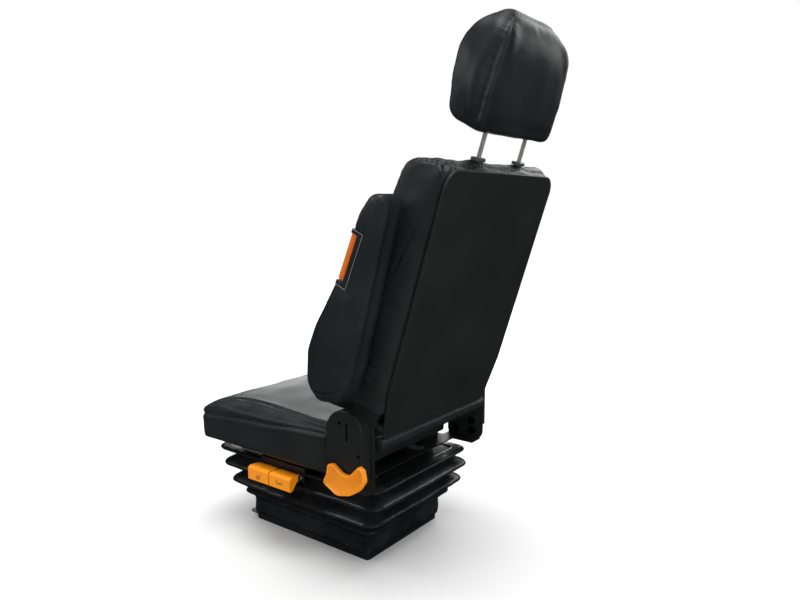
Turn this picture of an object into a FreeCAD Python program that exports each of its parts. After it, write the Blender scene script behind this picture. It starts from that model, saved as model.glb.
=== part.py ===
import FreeCAD, Part
import math
import os

# Tractor suspension seat, in millimetres.
# The origin is the centre of the base tray on the floor. +Z is up, the sitter
# faces -Y, and +X is the sitter's left, where the armrest and the controls are.

V = FreeCAD.Vector

# Base tray
BASE_WIDTH = 300.0
BASE_DEPTH = 402.0
TRAY_HEIGHT = 55.0
TRAY_SHEET = 3.0
TRAY_CORNER_R = 8.0
MOUNT_EDGE_X = 42.0
MOUNT_SPACING_Y = 300.0
MOUNT_HOLE_R = 5.5
FRONT_LIP_REACH = 27.0
FRONT_LIP_Z = 12.0

# Suspension
RIDE_HEIGHT = 202.0
TRAVEL = 45.0
HOUSING_DROP = 80.0
HOUSING_SHEET = 3.0
HOUSING_WINDOW_GAP = 24.0
SCISSOR_END_ROOM = 36.0
SCISSOR_RISE = 90.0
LOWER_PIVOT_Z = 50.0
SCISSOR_BAR_HEIGHT = 28.0
SCISSOR_BAR_THICK = 5.0
SCISSOR_SIDE_ROOM = 35.0
SCISSOR_SIDE_GAP = 5.0
CROSS_TUBE_R = 10.0
CROSS_TUBE_OFFSET = 30.0
PIVOT_PIN_R = 6.0
CENTRE_BOLT_R = 5.0
CENTRE_PLAY = 1.6
RUNNING_FIT = 0.06
ROLLER_R = 11.0
ROLLER_WIDTH = 14.0
ROLLER_PLAY = 1.6
ROLLER_END_ROOM = 6.5
CHANNEL_WALL = 2.5
CHANNEL_LENGTH = 84.0
EAR_THICK = 4.0
DAMPER_Y = -92.0
DAMPER_TUBE_R = 17.0
DAMPER_TUBE_WALL = 3.0
DAMPER_TUBE_TOP = 118.0
DAMPER_ROD_R = 6.0
SPRING_SIDE_ROOM = 45.0
SPRING_Y = 40.0
SPRING_MEAN_R = 24.0
SPRING_WIRE_R = 3.0
SPRING_TURNS = 7
SPRING_SEAT_HEIGHT = 5.0
BUMP_STOP_R = 9.0
BUMP_STOP_Y = 60.0

# Bellows: each fold has a tip and the valley above it
BELLOWS_WALL = 2.0
BELLOWS_SKIRT_Z = 20.0
BELLOWS_SKIRT_GAP = 0.4
SKIRT_RISE = 5.0
FOLD_TIP_HALF = 3.5
TOP_ROLL_LAP = 1.0
TOP_ROLL_AHEAD = 95.0
TOP_ROLL_BEHIND = 60.0
TOP_ROLL_CORNER = 36.0
RING_INNER = 8.0
RING_OVERLAP = 14.0

# Slide tracks under the seat frame
TRACK_SIDE_ROOM = 30.0
TRACK_WIDTH = 32.0
TRACK_SHEET = 2.0
TRACK_LOWER_HEIGHT = 14.0
TRACK_LIP = 4.0
TRACK_STACK = 20.0
TRACK_END_ROOM = 23.0
TRACK_UPPER_LENGTH = 350.0
TRACK_PLAY = 0.5
TRACK_UPPER_Y = 25.0

# Seat frame, tilt frame and cushion pan
FRAME_SHEET = 3.0
FRAME_SIDE_ROOM = 31.0
FRAME_FRONT_Y = -190.0
FRAME_PLATE_END = 5.0
FRAME_FLANGE_END = 57.0
FRAME_FLANGE_HEIGHT = 66.0
FRAME_WINDOW_GAP = 12.0
TILT_SHEET = 2.5
TILT_SIDE_ROOM = 25.0
TILT_PIVOT_BEHIND = 27.0
TILT_PIN_R = 3.0
LAYER_GAP = 0.8
PAN_SHEET = 2.5
PAN_SIDE_INSET = 20.0
PAN_FRONT_INSET = 30.0
PAN_REAR_INSET = 10.0
PAN_BOTTOM_GAP = 10.0
RUNNER_INSET = 18.0
RUNNER_WIDTH = 26.0
RUNNER_WALL = 2.0
GUIDE_LENGTH = 36.0
DEPTH_TRAVEL = 60.0

# Seat cushion
CUSHION_WIDTH = 490.0
CUSHION_FRONT_Y = -322.0
CUSHION_REAR_Y = 200.0
CUSHION_COVER_GAP = 19.0
CUSHION_REAR_ROOM = 36.0
CUSHION_HEIGHT = 112.0
CUSHION_EDGE_DROP = 12.0
CUSHION_GAP = 0.4

# Backrest, in its own leaned frame: d goes forward from the rear panel, w up along it
RECLINE_DEG = 17.4
BACK_FOOT_BEHIND = 73.0
BACK_FOOT_DROP = 11.0
BACK_HEIGHT = 625.0
BACK_CORNER_R = 48.0
BACK_WAIST_INSET = 22.0
BACK_WAIST_W = 120.0
WING_WIDTH = 86.0
WING_LAP = 46.0
WING_ROUND = 22.0
WING_DEPTH = 260.0
PANEL_THICK = 6.0
PANEL_DROP = 13.0
PANEL_INSET = 5.0
FOAM_RIM = 26.0
CAVITY_DEPTH = 42.0
CAVITY_DROP = 35.0
BACK_TUBE_R = 10.0
BACK_TUBE_HALF = 192.0
BACK_TUBE_DROP = 65.0
TUBE_SIDE_GAP = 16.0
BACK_TUBE_BEND = 60.0
BACK_TUBE_D = 31.0
CROSS_TUBE_W = 44.0
CROSS_BAR_W = 300.0
ROLL_R = 18.0
ROLL_INSET = 20.0

# Recliner
RECLINE_BEHIND = 31.0
RECLINE_RISE = 10.1
RECLINE_SHAFT_R = 8.0
HINGE_PLATE_INSET = 14.0
HINGE_PLATE_THICK = 5.5
HINGE_HUB_R = 32.0
HINGE_PLATE_TOP = 96.0
HINGE_PLATE_WIDTH = 56.0
BRACKET_GAP = 0.5
BRACKET_THICK = 5.0
BRACKET_R = 56.0
BRACKET_SHIFT_Y = 7.0
BRACKET_BOLT_R = 5.0
BRACKET_FOOT_DROP = 6.0
COVER_DEPTH = 33.0
COVER_WALL = 2.5
COVER_R = 54.0
COVER_FOOT_DROP = 102.0
LEVER_REACH = 18.0
LEVER_DEPTH = 14.0
LEVER_DISH = 5.0
LEVER_RIM = 6.0
LEVER_ARM_THICK = 5.0
LEVER_ARM_WIDTH = 28.0

# Headrest
POST_HALF_SPACING = 91.0
POST_R = 5.0
POST_D = 33.0
POST_BEND = 25.0
GUIDE_TUBE_R = 8.0
HEAD_GAP = 56.0
HEAD_COLLAR_TOP = 5.0
HEAD_HEIGHT = 248.0
HEAD_HALF_WIDTH = 157.0
HEAD_REAR_D = 6.0
HEAD_FRONT_D = 114.0
HEAD_POST_INSERT = 120.0
POST_TAIL = 136.0

# Armrest, folded up beside the backrest
ARM_GAP = 18.0
ARM_WIDTH = 76.0
ARM_PIVOT_AHEAD = 42.0
ARM_PIVOT_RISE = 166.0
ARM_BOLT_R = 6.0
ARM_HEAD_HEIGHT = 6.0
ARM_BOSS_R = 15.0
ARM_CORE_THICK = 8.0
ARM_CORE_WIDTH = 22.0
ARM_CORE_LENGTH = 325.0
ARM_LEAN_DEG = 18.5
WHEEL_ASIDE = 12.0
WHEEL_BEHIND = 34.3
WHEEL_RISE = 247.8
WHEEL_LEAN_DEG = 22.9
WHEEL_R = 16.0
WHEEL_LENGTH = 102.0
WHEEL_SINK = 6.0
WHEEL_ROOM = 1.5
BEZEL_WIDTH = 46.0
BEZEL_MARGIN = 9.0
BEZEL_PROUD = 1.0
BEZEL_DEPTH = 24.0
CHEEK_FRONT = 18.0
CHEEK_REAR = 31.0
CHEEK_INSET = 1.5

# Paddles under the cushion edge, on the sitter's left
PADDLE_FACE_REACH = 35.0
PADDLE_TOP_DROP = 13.0
PADDLE_HEIGHT = 35.0
PADDLE_LENGTH = 73.0
PADDLE_GAP = 4.0
PADDLE_FRONT_Y = -100.0
PADDLE_PIN_REACH = 14.0
PADDLE_PIN_DROP = 7.0
PADDLE_PIN_R = 3.5
PADDLE_PLATE_REACH = 8.0
PADDLE_PLATE_THICK = 3.0

# Fore and aft release bar
RELEASE_BAR_R = 4.0
RELEASE_BAR_REACH = 31.0
RELEASE_BAR_FRONT_Y = -262.0
RELEASE_BAR_PIVOT_Y = -60.0
RELEASE_BAR_DROP = 7.0
RELEASE_BAR_BEND = 20.0
RELEASE_PIN_R = 2.5

CLEAR = 0.3

# Derived places
BASE_HALF_X = BASE_WIDTH / 2
BASE_HALF_Y = BASE_DEPTH / 2
MOUNT_SPACING_X = BASE_WIDTH - 2 * MOUNT_EDGE_X
SCISSOR_LENGTH = BASE_DEPTH - 2 * SCISSOR_END_ROOM
SCISSOR_REAR_Y = BASE_HALF_Y - SCISSOR_END_ROOM
UPPER_PIVOT_Z = LOWER_PIVOT_Z + SCISSOR_RISE
SCISSOR_ANGLE = math.asin(SCISSOR_RISE / SCISSOR_LENGTH)
SCISSOR_FRONT_Y = SCISSOR_REAR_Y - SCISSOR_LENGTH * math.cos(SCISSOR_ANGLE)
SCISSOR_MID_Y = (SCISSOR_REAR_Y + SCISSOR_FRONT_Y) / 2
SCISSOR_MID_Z = LOWER_PIVOT_Z + SCISSOR_RISE / 2
OUTER_ARM_X = BASE_HALF_X - SCISSOR_SIDE_ROOM
INNER_ARM_X = OUTER_ARM_X - SCISSOR_BAR_THICK - SCISSOR_SIDE_GAP
SPRING_X = INNER_ARM_X - SPRING_SIDE_ROOM
CHANNEL_HALF = ROLLER_R + ROLLER_PLAY + CHANNEL_WALL
CHANNEL_OUTER_X = BASE_HALF_X - TRAY_SHEET
ROLLER_OUTER_X = CHANNEL_OUTER_X - CHANNEL_WALL - ROLLER_END_ROOM
HOUSING_UNDER = RIDE_HEIGHT - HOUSING_SHEET
BELLOWS_TOP = RIDE_HEIGHT + TRACK_SHEET + CLEAR + BELLOWS_WALL
TOP_ROLL_FRONT = -BASE_HALF_Y - TOP_ROLL_AHEAD
TOP_ROLL_REAR = BASE_HALF_Y + TOP_ROLL_BEHIND
TRACK_X = BASE_HALF_X - TRACK_SIDE_ROOM
TRACK_LOWER_LENGTH = BASE_DEPTH - 2 * TRACK_END_ROOM
TRACK_TOP = RIDE_HEIGHT + TRACK_STACK
FRAME_TOP = TRACK_TOP + FRAME_SHEET
TILT_BOTTOM = FRAME_TOP + LAYER_GAP
TILT_TOP = TILT_BOTTOM + TILT_SHEET
PAN_TOP = FRAME_TOP + PAN_BOTTOM_GAP + PAN_SHEET
TILT_PIVOT_Z = (FRAME_TOP + PAN_TOP) / 2
CUSHION_BOTTOM = PAN_TOP + CUSHION_GAP
CUSHION_TOP = CUSHION_BOTTOM + CUSHION_HEIGHT
RELEASE_BAR_X = TRACK_X + RELEASE_BAR_REACH
RELEASE_BAR_Z = TRACK_TOP - RELEASE_BAR_DROP

# The recliner stands behind and above the cushion, and the backrest turns on it
RECLINE_Y = CUSHION_REAR_Y + RECLINE_BEHIND
RECLINE_Z = CUSHION_TOP + RECLINE_RISE
BACK_FOOT_Y = RECLINE_Y + BACK_FOOT_BEHIND
BACK_FOOT_Z = RECLINE_Z - BACK_FOOT_DROP
BACK_HALF_WIDTH = BACK_TUBE_HALF + BACK_TUBE_R + TUBE_SIDE_GAP + FOAM_RIM
BACK_WAIST_HALF = BACK_HALF_WIDTH - BACK_WAIST_INSET
BACK_TUBE_TOP = BACK_HEIGHT - BACK_TUBE_DROP
CAVITY_TOP = BACK_HEIGHT - CAVITY_DROP
PANEL_HEIGHT = BACK_HEIGHT - PANEL_DROP
ROLL_HALF = BACK_HALF_WIDTH - ROLL_INSET
HINGE_PLATE_X = BACK_HALF_WIDTH - HINGE_PLATE_INSET
BRACKET_X = HINGE_PLATE_X + HINGE_PLATE_THICK + BRACKET_GAP
BRACKET_FOOT_Z = TRACK_TOP - BRACKET_FOOT_DROP
COVER_OUTER_X = BRACKET_X + COVER_DEPTH
COVER_FOOT_Z = RECLINE_Z - COVER_FOOT_DROP
LEVER_FACE_X = COVER_OUTER_X + LEVER_REACH
FRAME_HALF_WIDTH = BRACKET_X - FRAME_SIDE_ROOM
TOP_ROLL_HALF_X = FRAME_HALF_WIDTH + TOP_ROLL_LAP
FRAME_PLATE_REAR_Y = RECLINE_Y - FRAME_PLATE_END
FRAME_REAR_Y = RECLINE_Y + FRAME_FLANGE_END
CUSHION_SIDE_END_Y = RECLINE_Y - COVER_R - CUSHION_COVER_GAP
CUSHION_REAR_HALF = BRACKET_X - CUSHION_REAR_ROOM
PAN_HALF_WIDTH = CUSHION_WIDTH / 2 - PAN_SIDE_INSET
PAN_FRONT_Y = CUSHION_FRONT_Y + PAN_FRONT_INSET
PAN_REAR_Y = CUSHION_SIDE_END_Y - PAN_REAR_INSET
TILT_HALF_WIDTH = FRAME_HALF_WIDTH - TILT_SIDE_ROOM
TILT_PIVOT_Y = PAN_REAR_Y + TILT_PIVOT_BEHIND
RUNNER_X = TILT_HALF_WIDTH - RUNNER_INSET
PADDLE_PLATE_X = FRAME_HALF_WIDTH + PADDLE_PLATE_REACH
PADDLE_PIN_X = PADDLE_PLATE_X + PADDLE_PIN_REACH
PADDLE_FACE_X = PADDLE_PIN_X + PADDLE_FACE_REACH
PADDLE_TOP_Z = TRACK_TOP - PADDLE_TOP_DROP
PADDLE_PIN_Z = PADDLE_TOP_Z - PADDLE_PIN_DROP
ARM_INNER_X = BACK_HALF_WIDTH + ARM_GAP
ARM_PIVOT_Y = BACK_FOOT_Y - ARM_PIVOT_AHEAD
ARM_PIVOT_Z = BACK_FOOT_Z + ARM_PIVOT_RISE
WHEEL_Y = ARM_PIVOT_Y + WHEEL_BEHIND
WHEEL_Z = ARM_PIVOT_Z + WHEEL_RISE
HEAD_BOTTOM = BACK_HEIGHT + HEAD_COLLAR_TOP + HEAD_GAP

# The same places in the backrest's leaned frame
LEAN = math.radians(RECLINE_DEG)
HINGE_D = BACK_FOOT_BEHIND * math.cos(LEAN) + BACK_FOOT_DROP * math.sin(LEAN)
HINGE_W = BACK_FOOT_DROP * math.cos(LEAN) - BACK_FOOT_BEHIND * math.sin(LEAN)
ARM_D = ARM_PIVOT_AHEAD * math.cos(LEAN) + ARM_PIVOT_RISE * math.sin(LEAN)
ARM_W = ARM_PIVOT_RISE * math.cos(LEAN) - ARM_PIVOT_AHEAD * math.sin(LEAN)

PARTS = {}


def box(x0, x1, y0, y1, z0, z1):
    return Part.makeBox(x1 - x0, y1 - y0, z1 - z0, V(x0, y0, z0))


def rod(start, end, radius):
    a = V(*start)
    b = V(*end)
    return Part.makeCylinder(radius, a.distanceToPoint(b), a, b - a)


def rounded_wire(corners, lift):
    """A closed wire of straight runs and tangent arcs; corners are (u, v, radius)."""
    edges = []
    count = len(corners)
    trims = []
    for i in range(count):
        here = V(corners[i][0], corners[i][1], 0)
        back = V(corners[i - 1][0], corners[i - 1][1], 0)
        following = corners[(i + 1) % count]
        ahead = V(following[0], following[1], 0)
        to_back = (back - here).normalize()
        to_ahead = (ahead - here).normalize()
        half = to_back.getAngle(to_ahead) / 2
        radius = corners[i][2]
        if radius <= 0 or half > math.pi / 2 - 1e-4:
            trims.append((here, here, None))
            continue
        room = 0.4999 * min(here.distanceToPoint(back), here.distanceToPoint(ahead))
        trim = min(radius / math.tan(half), room)
        radius = trim * math.tan(half)
        bisector = (to_back + to_ahead).normalize()
        middle = here + bisector * (radius / math.sin(half) - radius)
        trims.append((here + to_back * trim, here + to_ahead * trim, middle))
    for i in range(count):
        enter, leave, middle = trims[i]
        if middle is not None:
            edges.append(Part.Arc(lift(enter), lift(middle), lift(leave)).toShape())
        following = trims[(i + 1) % count][0]
        if (following - leave).Length > 1e-6:
            edges.append(Part.LineSegment(lift(leave), lift(following)).toShape())
    return Part.Wire(edges)


def plate_x(corners, x0, x1):
    """A plate with its outline in Y and Z and its thickness along X."""
    wire = rounded_wire(corners, lambda p: V(x0, p.x, p.y))
    return Part.Face(wire).extrude(V(x1 - x0, 0, 0))


def plate_y(corners, y0, y1):
    """A plate with its outline in X and Z and its thickness along Y."""
    wire = rounded_wire(corners, lambda p: V(p.x, y0, p.y))
    return Part.Face(wire).extrude(V(0, y1 - y0, 0))


def plate_z(corners, z0, z1):
    """A plate with its outline in X and Y and its thickness along Z."""
    wire = rounded_wire(corners, lambda p: V(p.x, p.y, z0))
    return Part.Face(wire).extrude(V(0, 0, z1 - z0))


def rectangle(half_x, y0, y1, radius):
    return [(-half_x, y0, radius), (half_x, y0, radius), (half_x, y1, radius), (-half_x, y1, radius)]


def mirrored(shape):
    return shape.mirror(V(0, 0, 0), V(1, 0, 0))


def fused(shapes):
    result = shapes[0].multiFuse(shapes[1:]) if len(shapes) > 1 else shapes[0]
    result = result.removeSplitter()
    return result.Solids[0] if len(result.Solids) == 1 else result


def leaned(shape):
    """Backrest coordinates, built as (x, -d, w), to the seat's frame."""
    turned = shape.copy()
    turned.rotate(V(0, 0, 0), V(1, 0, 0), -RECLINE_DEG)
    turned.translate(V(0, BACK_FOOT_Y, BACK_FOOT_Z))
    return turned


def softened(shape, radius, chosen):
    """Round the edges that the test picks, with a smaller radius where it does not fit."""
    edges = [edge for edge in shape.Edges if chosen(edge)]
    for size in (radius, radius * 0.6, radius * 0.3):
        try:
            result = shape.makeFillet(size, edges)
        except Exception:
            continue
        if result.isValid() and len(result.Solids) == 1:
            return result.Solids[0]
    return shape


def keep(name, shape):
    PARTS[name] = shape


def pair(name, shape):
    keep(name + "_left", shape)
    keep(name + "_right", mirrored(shape))


def base_tray():
    outer = plate_z(rectangle(BASE_HALF_X, -BASE_HALF_Y, BASE_HALF_Y, TRAY_CORNER_R), 0, TRAY_HEIGHT)
    inner_corner = TRAY_CORNER_R - TRAY_SHEET
    half_x = BASE_HALF_X - TRAY_SHEET
    half_y = BASE_HALF_Y - TRAY_SHEET
    hollow = plate_z(rectangle(half_x, -half_y, half_y, inner_corner), TRAY_SHEET, TRAY_HEIGHT + 1)
    lip = plate_z(
        [
            (-BASE_HALF_X, -BASE_HALF_Y - FRONT_LIP_REACH, TRAY_CORNER_R),
            (BASE_HALF_X, -BASE_HALF_Y - FRONT_LIP_REACH, TRAY_CORNER_R),
            (BASE_HALF_X, -BASE_HALF_Y + TRAY_CORNER_R + 1, 0),
            (-BASE_HALF_X, -BASE_HALF_Y + TRAY_CORNER_R + 1, 0),
        ],
        FRONT_LIP_Z,
        FRONT_LIP_Z + TRAY_SHEET,
    )
    tray = outer.fuse(lip).cut(hollow)
    for x in (-MOUNT_SPACING_X / 2, MOUNT_SPACING_X / 2):
        for y in (-MOUNT_SPACING_Y / 2, MOUNT_SPACING_Y / 2):
            tray = tray.cut(rod((x, y, -1), (x, y, TRAY_SHEET + 1), MOUNT_HOLE_R))
    welded = [tray]
    for bracket in (roller_channel(LOWER_PIVOT_Z), lower_ear(), spring_seat(TRAY_SHEET, True)):
        welded.append(bracket)
        welded.append(mirrored(bracket))
    return fused(welded)


def roller_channel(centre_z):
    y0 = SCISSOR_FRONT_Y - CHANNEL_LENGTH / 2
    y1 = SCISSOR_FRONT_Y + CHANNEL_LENGTH / 2
    inner_x = ROLLER_OUTER_X - ROLLER_WIDTH - 1.0
    block = box(inner_x, CHANNEL_OUTER_X, y0, y1, centre_z - CHANNEL_HALF, centre_z + CHANNEL_HALF)
    gap = CHANNEL_HALF - CHANNEL_WALL
    slot = box(inner_x - 1, CHANNEL_OUTER_X - CHANNEL_WALL, y0 - 1, y1 + 1, centre_z - gap, centre_z + gap)
    return block.cut(slot)


def ear_pin(x0, z):
    return rod((x0 - 1, SCISSOR_REAR_Y, z), (x0 + EAR_THICK + 1, SCISSOR_REAR_Y, z), PIVOT_PIN_R)


def lower_ear():
    x0 = OUTER_ARM_X + SCISSOR_BAR_THICK + 1.0
    height = LOWER_PIVOT_Z + SCISSOR_BAR_HEIGHT / 2
    y0 = SCISSOR_REAR_Y - 20
    y1 = SCISSOR_REAR_Y + 20
    plate = box(x0, x0 + EAR_THICK, y0, y1, TRAY_SHEET, height)
    foot = box(x0, CHANNEL_OUTER_X - 1, y0, y1, TRAY_SHEET, TRAY_SHEET + EAR_THICK)
    return fused([plate, foot]).cut(ear_pin(x0, LOWER_PIVOT_Z))


def upper_ear():
    x0 = INNER_ARM_X + SCISSOR_BAR_THICK + 1.0
    y0 = SCISSOR_REAR_Y - 20
    y1 = SCISSOR_REAR_Y + 20
    bottom = UPPER_PIVOT_Z - SCISSOR_BAR_HEIGHT / 2
    plate = box(x0, x0 + EAR_THICK, y0, y1, bottom, HOUSING_UNDER)
    foot = box(x0, CHANNEL_OUTER_X - 1, y0, y1, HOUSING_UNDER - EAR_THICK, HOUSING_UNDER)
    return fused([plate, foot]).cut(ear_pin(x0, UPPER_PIVOT_Z))


def pivot_pins(arm_x, z):
    """A headed pin on each side, through the ear and the scissor bar."""
    start = arm_x - 4.0
    end = arm_x + SCISSOR_BAR_THICK + 1.0 + EAR_THICK + 1.0
    shank = rod((start, SCISSOR_REAR_Y, z), (end, SCISSOR_REAR_Y, z), PIVOT_PIN_R)
    head = rod((start - 3, SCISSOR_REAR_Y, z), (start, SCISSOR_REAR_Y, z), PIVOT_PIN_R + 3)
    pin = fused([shank, head])
    return Part.makeCompound([pin, mirrored(pin)])


def scissor_frame(arm_x, rear_z, front_z, centre_hole_r):
    """Two flat bars joined by a cross tube near the rear pivot."""
    rise = front_z - rear_z
    half = SCISSOR_BAR_HEIGHT / 2
    length = SCISSOR_LENGTH
    x0 = arm_x
    x1 = arm_x + SCISSOR_BAR_THICK
    bar = box(x0, x1, -length, 0, -half, half)
    bar = bar.fuse(rod((x0, 0, 0), (x1, 0, 0), half)).fuse(rod((x0, -length, 0), (x1, -length, 0), half))
    bar = bar.cut(rod((x0 - 1, 0, 0), (x1 + 1, 0, 0), PIVOT_PIN_R + RUNNING_FIT))
    bar = bar.cut(rod((x0 - 1, -length, 0), (x1 + 1, -length, 0), PIVOT_PIN_R + RUNNING_FIT))
    bar = bar.cut(rod((x0 - 1, -length / 2, 0), (x1 + 1, -length / 2, 0), centre_hole_r))
    cross = rod((-x0, -CROSS_TUBE_OFFSET, 0), (x0, -CROSS_TUBE_OFFSET, 0), CROSS_TUBE_R)
    frame = fused([bar, mirrored(bar), cross])
    frame.rotate(V(0, 0, 0), V(1, 0, 0), -math.degrees(math.asin(rise / length)))
    frame.translate(V(0, SCISSOR_REAR_Y, rear_z))
    return frame


def centre_bolts():
    start = INNER_ARM_X - 6.0
    end = OUTER_ARM_X + SCISSOR_BAR_THICK
    middle = (SCISSOR_MID_Y, SCISSOR_MID_Z)
    shank = rod((start,) + middle, (end,) + middle, CENTRE_BOLT_R)
    head = rod((end,) + middle, (end + 4,) + middle, CENTRE_BOLT_R + 4)
    collar = rod((start - 3,) + middle, (start,) + middle, CENTRE_BOLT_R + 5)
    bolt = fused([shank, head, collar])
    return Part.makeCompound([bolt, mirrored(bolt)])


def roller_axle(z):
    end = ROLLER_OUTER_X + 2.0
    return rod((-end, SCISSOR_FRONT_Y, z), (end, SCISSOR_FRONT_Y, z), PIVOT_PIN_R)


def roller(z):
    x0 = ROLLER_OUTER_X - ROLLER_WIDTH
    wheel = rod((x0, SCISSOR_FRONT_Y, z), (ROLLER_OUTER_X, SCISSOR_FRONT_Y, z), ROLLER_R)
    return wheel.cut(rod((x0 - 1, SCISSOR_FRONT_Y, z), (ROLLER_OUTER_X + 1, SCISSOR_FRONT_Y, z), PIVOT_PIN_R))


def damper_tube():
    body = rod((0, DAMPER_Y, TRAY_SHEET), (0, DAMPER_Y, DAMPER_TUBE_TOP), DAMPER_TUBE_R)
    bore_r = DAMPER_TUBE_R - DAMPER_TUBE_WALL
    bore = rod((0, DAMPER_Y, TRAY_SHEET + 4), (0, DAMPER_Y, DAMPER_TUBE_TOP - 6), bore_r)
    gland_r = DAMPER_ROD_R + RUNNING_FIT
    gland = rod((0, DAMPER_Y, DAMPER_TUBE_TOP - 7), (0, DAMPER_Y, DAMPER_TUBE_TOP + 1), gland_r)
    return body.cut(bore).cut(gland)


def damper_rod():
    bore_r = DAMPER_TUBE_R - DAMPER_TUBE_WALL
    low = TRAY_SHEET + 4 + TRAVEL + 3
    piston = rod((0, DAMPER_Y, low), (0, DAMPER_Y, low + 9), bore_r - RUNNING_FIT)
    shaft = rod((0, DAMPER_Y, low), (0, DAMPER_Y, HOUSING_UNDER), DAMPER_ROD_R)
    flange = rod((0, DAMPER_Y, HOUSING_UNDER - 5), (0, DAMPER_Y, HOUSING_UNDER), DAMPER_TUBE_R + 5)
    return fused([piston, shaft, flange])


def coil_spring():
    """A compression spring standing between its two seats."""
    bottom = TRAY_SHEET + SPRING_SEAT_HEIGHT + CLEAR + SPRING_WIRE_R
    top = HOUSING_UNDER - SPRING_SEAT_HEIGHT - CLEAR - SPRING_WIRE_R
    pitch = (top - bottom) / SPRING_TURNS
    helix = Part.makeHelix(pitch, top - bottom, SPRING_MEAN_R)
    section = Part.Wire(Part.makeCircle(SPRING_WIRE_R, V(SPRING_MEAN_R, 0, 0), V(0, 1, 0)))
    coil = Part.Wire(helix).makePipeShell([section], True, True)
    coil.translate(V(SPRING_X, SPRING_Y, bottom))
    return coil


def spring_seat(z0, up):
    flange = rod((SPRING_X, SPRING_Y, z0), (SPRING_X, SPRING_Y, z0 + SPRING_SEAT_HEIGHT), SPRING_MEAN_R + 6)
    spigot_r = SPRING_MEAN_R - SPRING_WIRE_R - 2
    z1 = z0 + SPRING_SEAT_HEIGHT
    if up:
        return fused([flange, rod((SPRING_X, SPRING_Y, z1), (SPRING_X, SPRING_Y, z1 + 10), spigot_r)])
    return fused([flange, rod((SPRING_X, SPRING_Y, z0 - 10), (SPRING_X, SPRING_Y, z0), spigot_r)])


def bump_stop():
    x = CHANNEL_OUTER_X - BUMP_STOP_R - 4
    top = RIDE_HEIGHT - HOUSING_DROP - TRAVEL - 1.0
    foot = rod((x, BUMP_STOP_Y, TRAY_SHEET), (x, BUMP_STOP_Y, TRAY_SHEET + 30), BUMP_STOP_R - 3)
    block = rod((x, BUMP_STOP_Y, TRAY_SHEET + 30), (x, BUMP_STOP_Y, top), BUMP_STOP_R)
    return fused([foot, block])


def bellows_levels():
    """Height, half width, front, rear and corner radius of the gaiter, from its hem up."""
    skirt_x = BASE_HALF_X + BELLOWS_SKIRT_GAP + BELLOWS_WALL
    skirt_y = BASE_HALF_Y + BELLOWS_SKIRT_GAP + BELLOWS_WALL
    corner = TRAY_CORNER_R + BELLOWS_SKIRT_GAP + BELLOWS_WALL
    levels = [
        (BELLOWS_SKIRT_Z, skirt_x, -skirt_y, skirt_y, corner),
        (TRAY_HEIGHT + SKIRT_RISE, skirt_x, -skirt_y, skirt_y, corner),
    ]
    # Share of the height, then the reach beyond the base at the sides, front and rear, and the corner
    folds = [
        ((0.179, 28.0, 25.0, 30.0, 26.0), (0.258, 16.0, 13.0, 19.0, 22.0)),
        ((0.416, 50.0, 53.0, 47.0, 34.0), (0.589, 20.0, 25.0, 21.0, 26.0)),
        ((0.747, 57.0, 75.0, 61.0, 36.0), (0.905, 24.0, 43.0, 31.0, 26.0)),
    ]
    low = TRAY_HEIGHT + SKIRT_RISE
    high = BELLOWS_TOP - 2 * FOLD_TIP_HALF
    for tip, valley in folds:
        for fold, lifts in ((tip, (-FOLD_TIP_HALF, FOLD_TIP_HALF)), (valley, (0.0,))):
            share, side, ahead, behind, corner = fold
            for lift in lifts:
                z = low + share * (high - low) + lift
                levels.append((z, BASE_HALF_X + side, -BASE_HALF_Y - ahead, BASE_HALF_Y + behind, corner))
    for z in (BELLOWS_TOP - 2 * FOLD_TIP_HALF, BELLOWS_TOP):
        levels.append((z, TOP_ROLL_HALF_X, TOP_ROLL_FRONT, TOP_ROLL_REAR, TOP_ROLL_CORNER))
    return levels


def level_wire(level, inset):
    z, half_x, front, rear, corner = level
    outline = rectangle(half_x - inset, front + inset, rear - inset, max(corner - inset, 1.0))
    return rounded_wire(outline, lambda p: V(p.x, p.y, z))


def roll_outline(inset, corner):
    return rectangle(TOP_ROLL_HALF_X - inset, TOP_ROLL_FRONT + inset, TOP_ROLL_REAR - inset, corner)


def bellows():
    """A moulded gaiter with three full folds and a top roll, hollow and open at both ends."""
    levels = bellows_levels()
    outer = Part.makeLoft([level_wire(level, 0.0) for level in levels], True, True)
    inner = Part.makeLoft([level_wire(level, BELLOWS_WALL) for level in levels], True, True)
    shell = outer.cut(inner)
    under = BELLOWS_TOP - BELLOWS_WALL
    lid = plate_z(roll_outline(0.0, TOP_ROLL_CORNER), under, BELLOWS_TOP)
    window = plate_z(roll_outline(2 * RING_OVERLAP, TOP_ROLL_CORNER / 2), under - 1, BELLOWS_TOP + 1)
    return fused([shell, lid]).cut(window)


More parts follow.
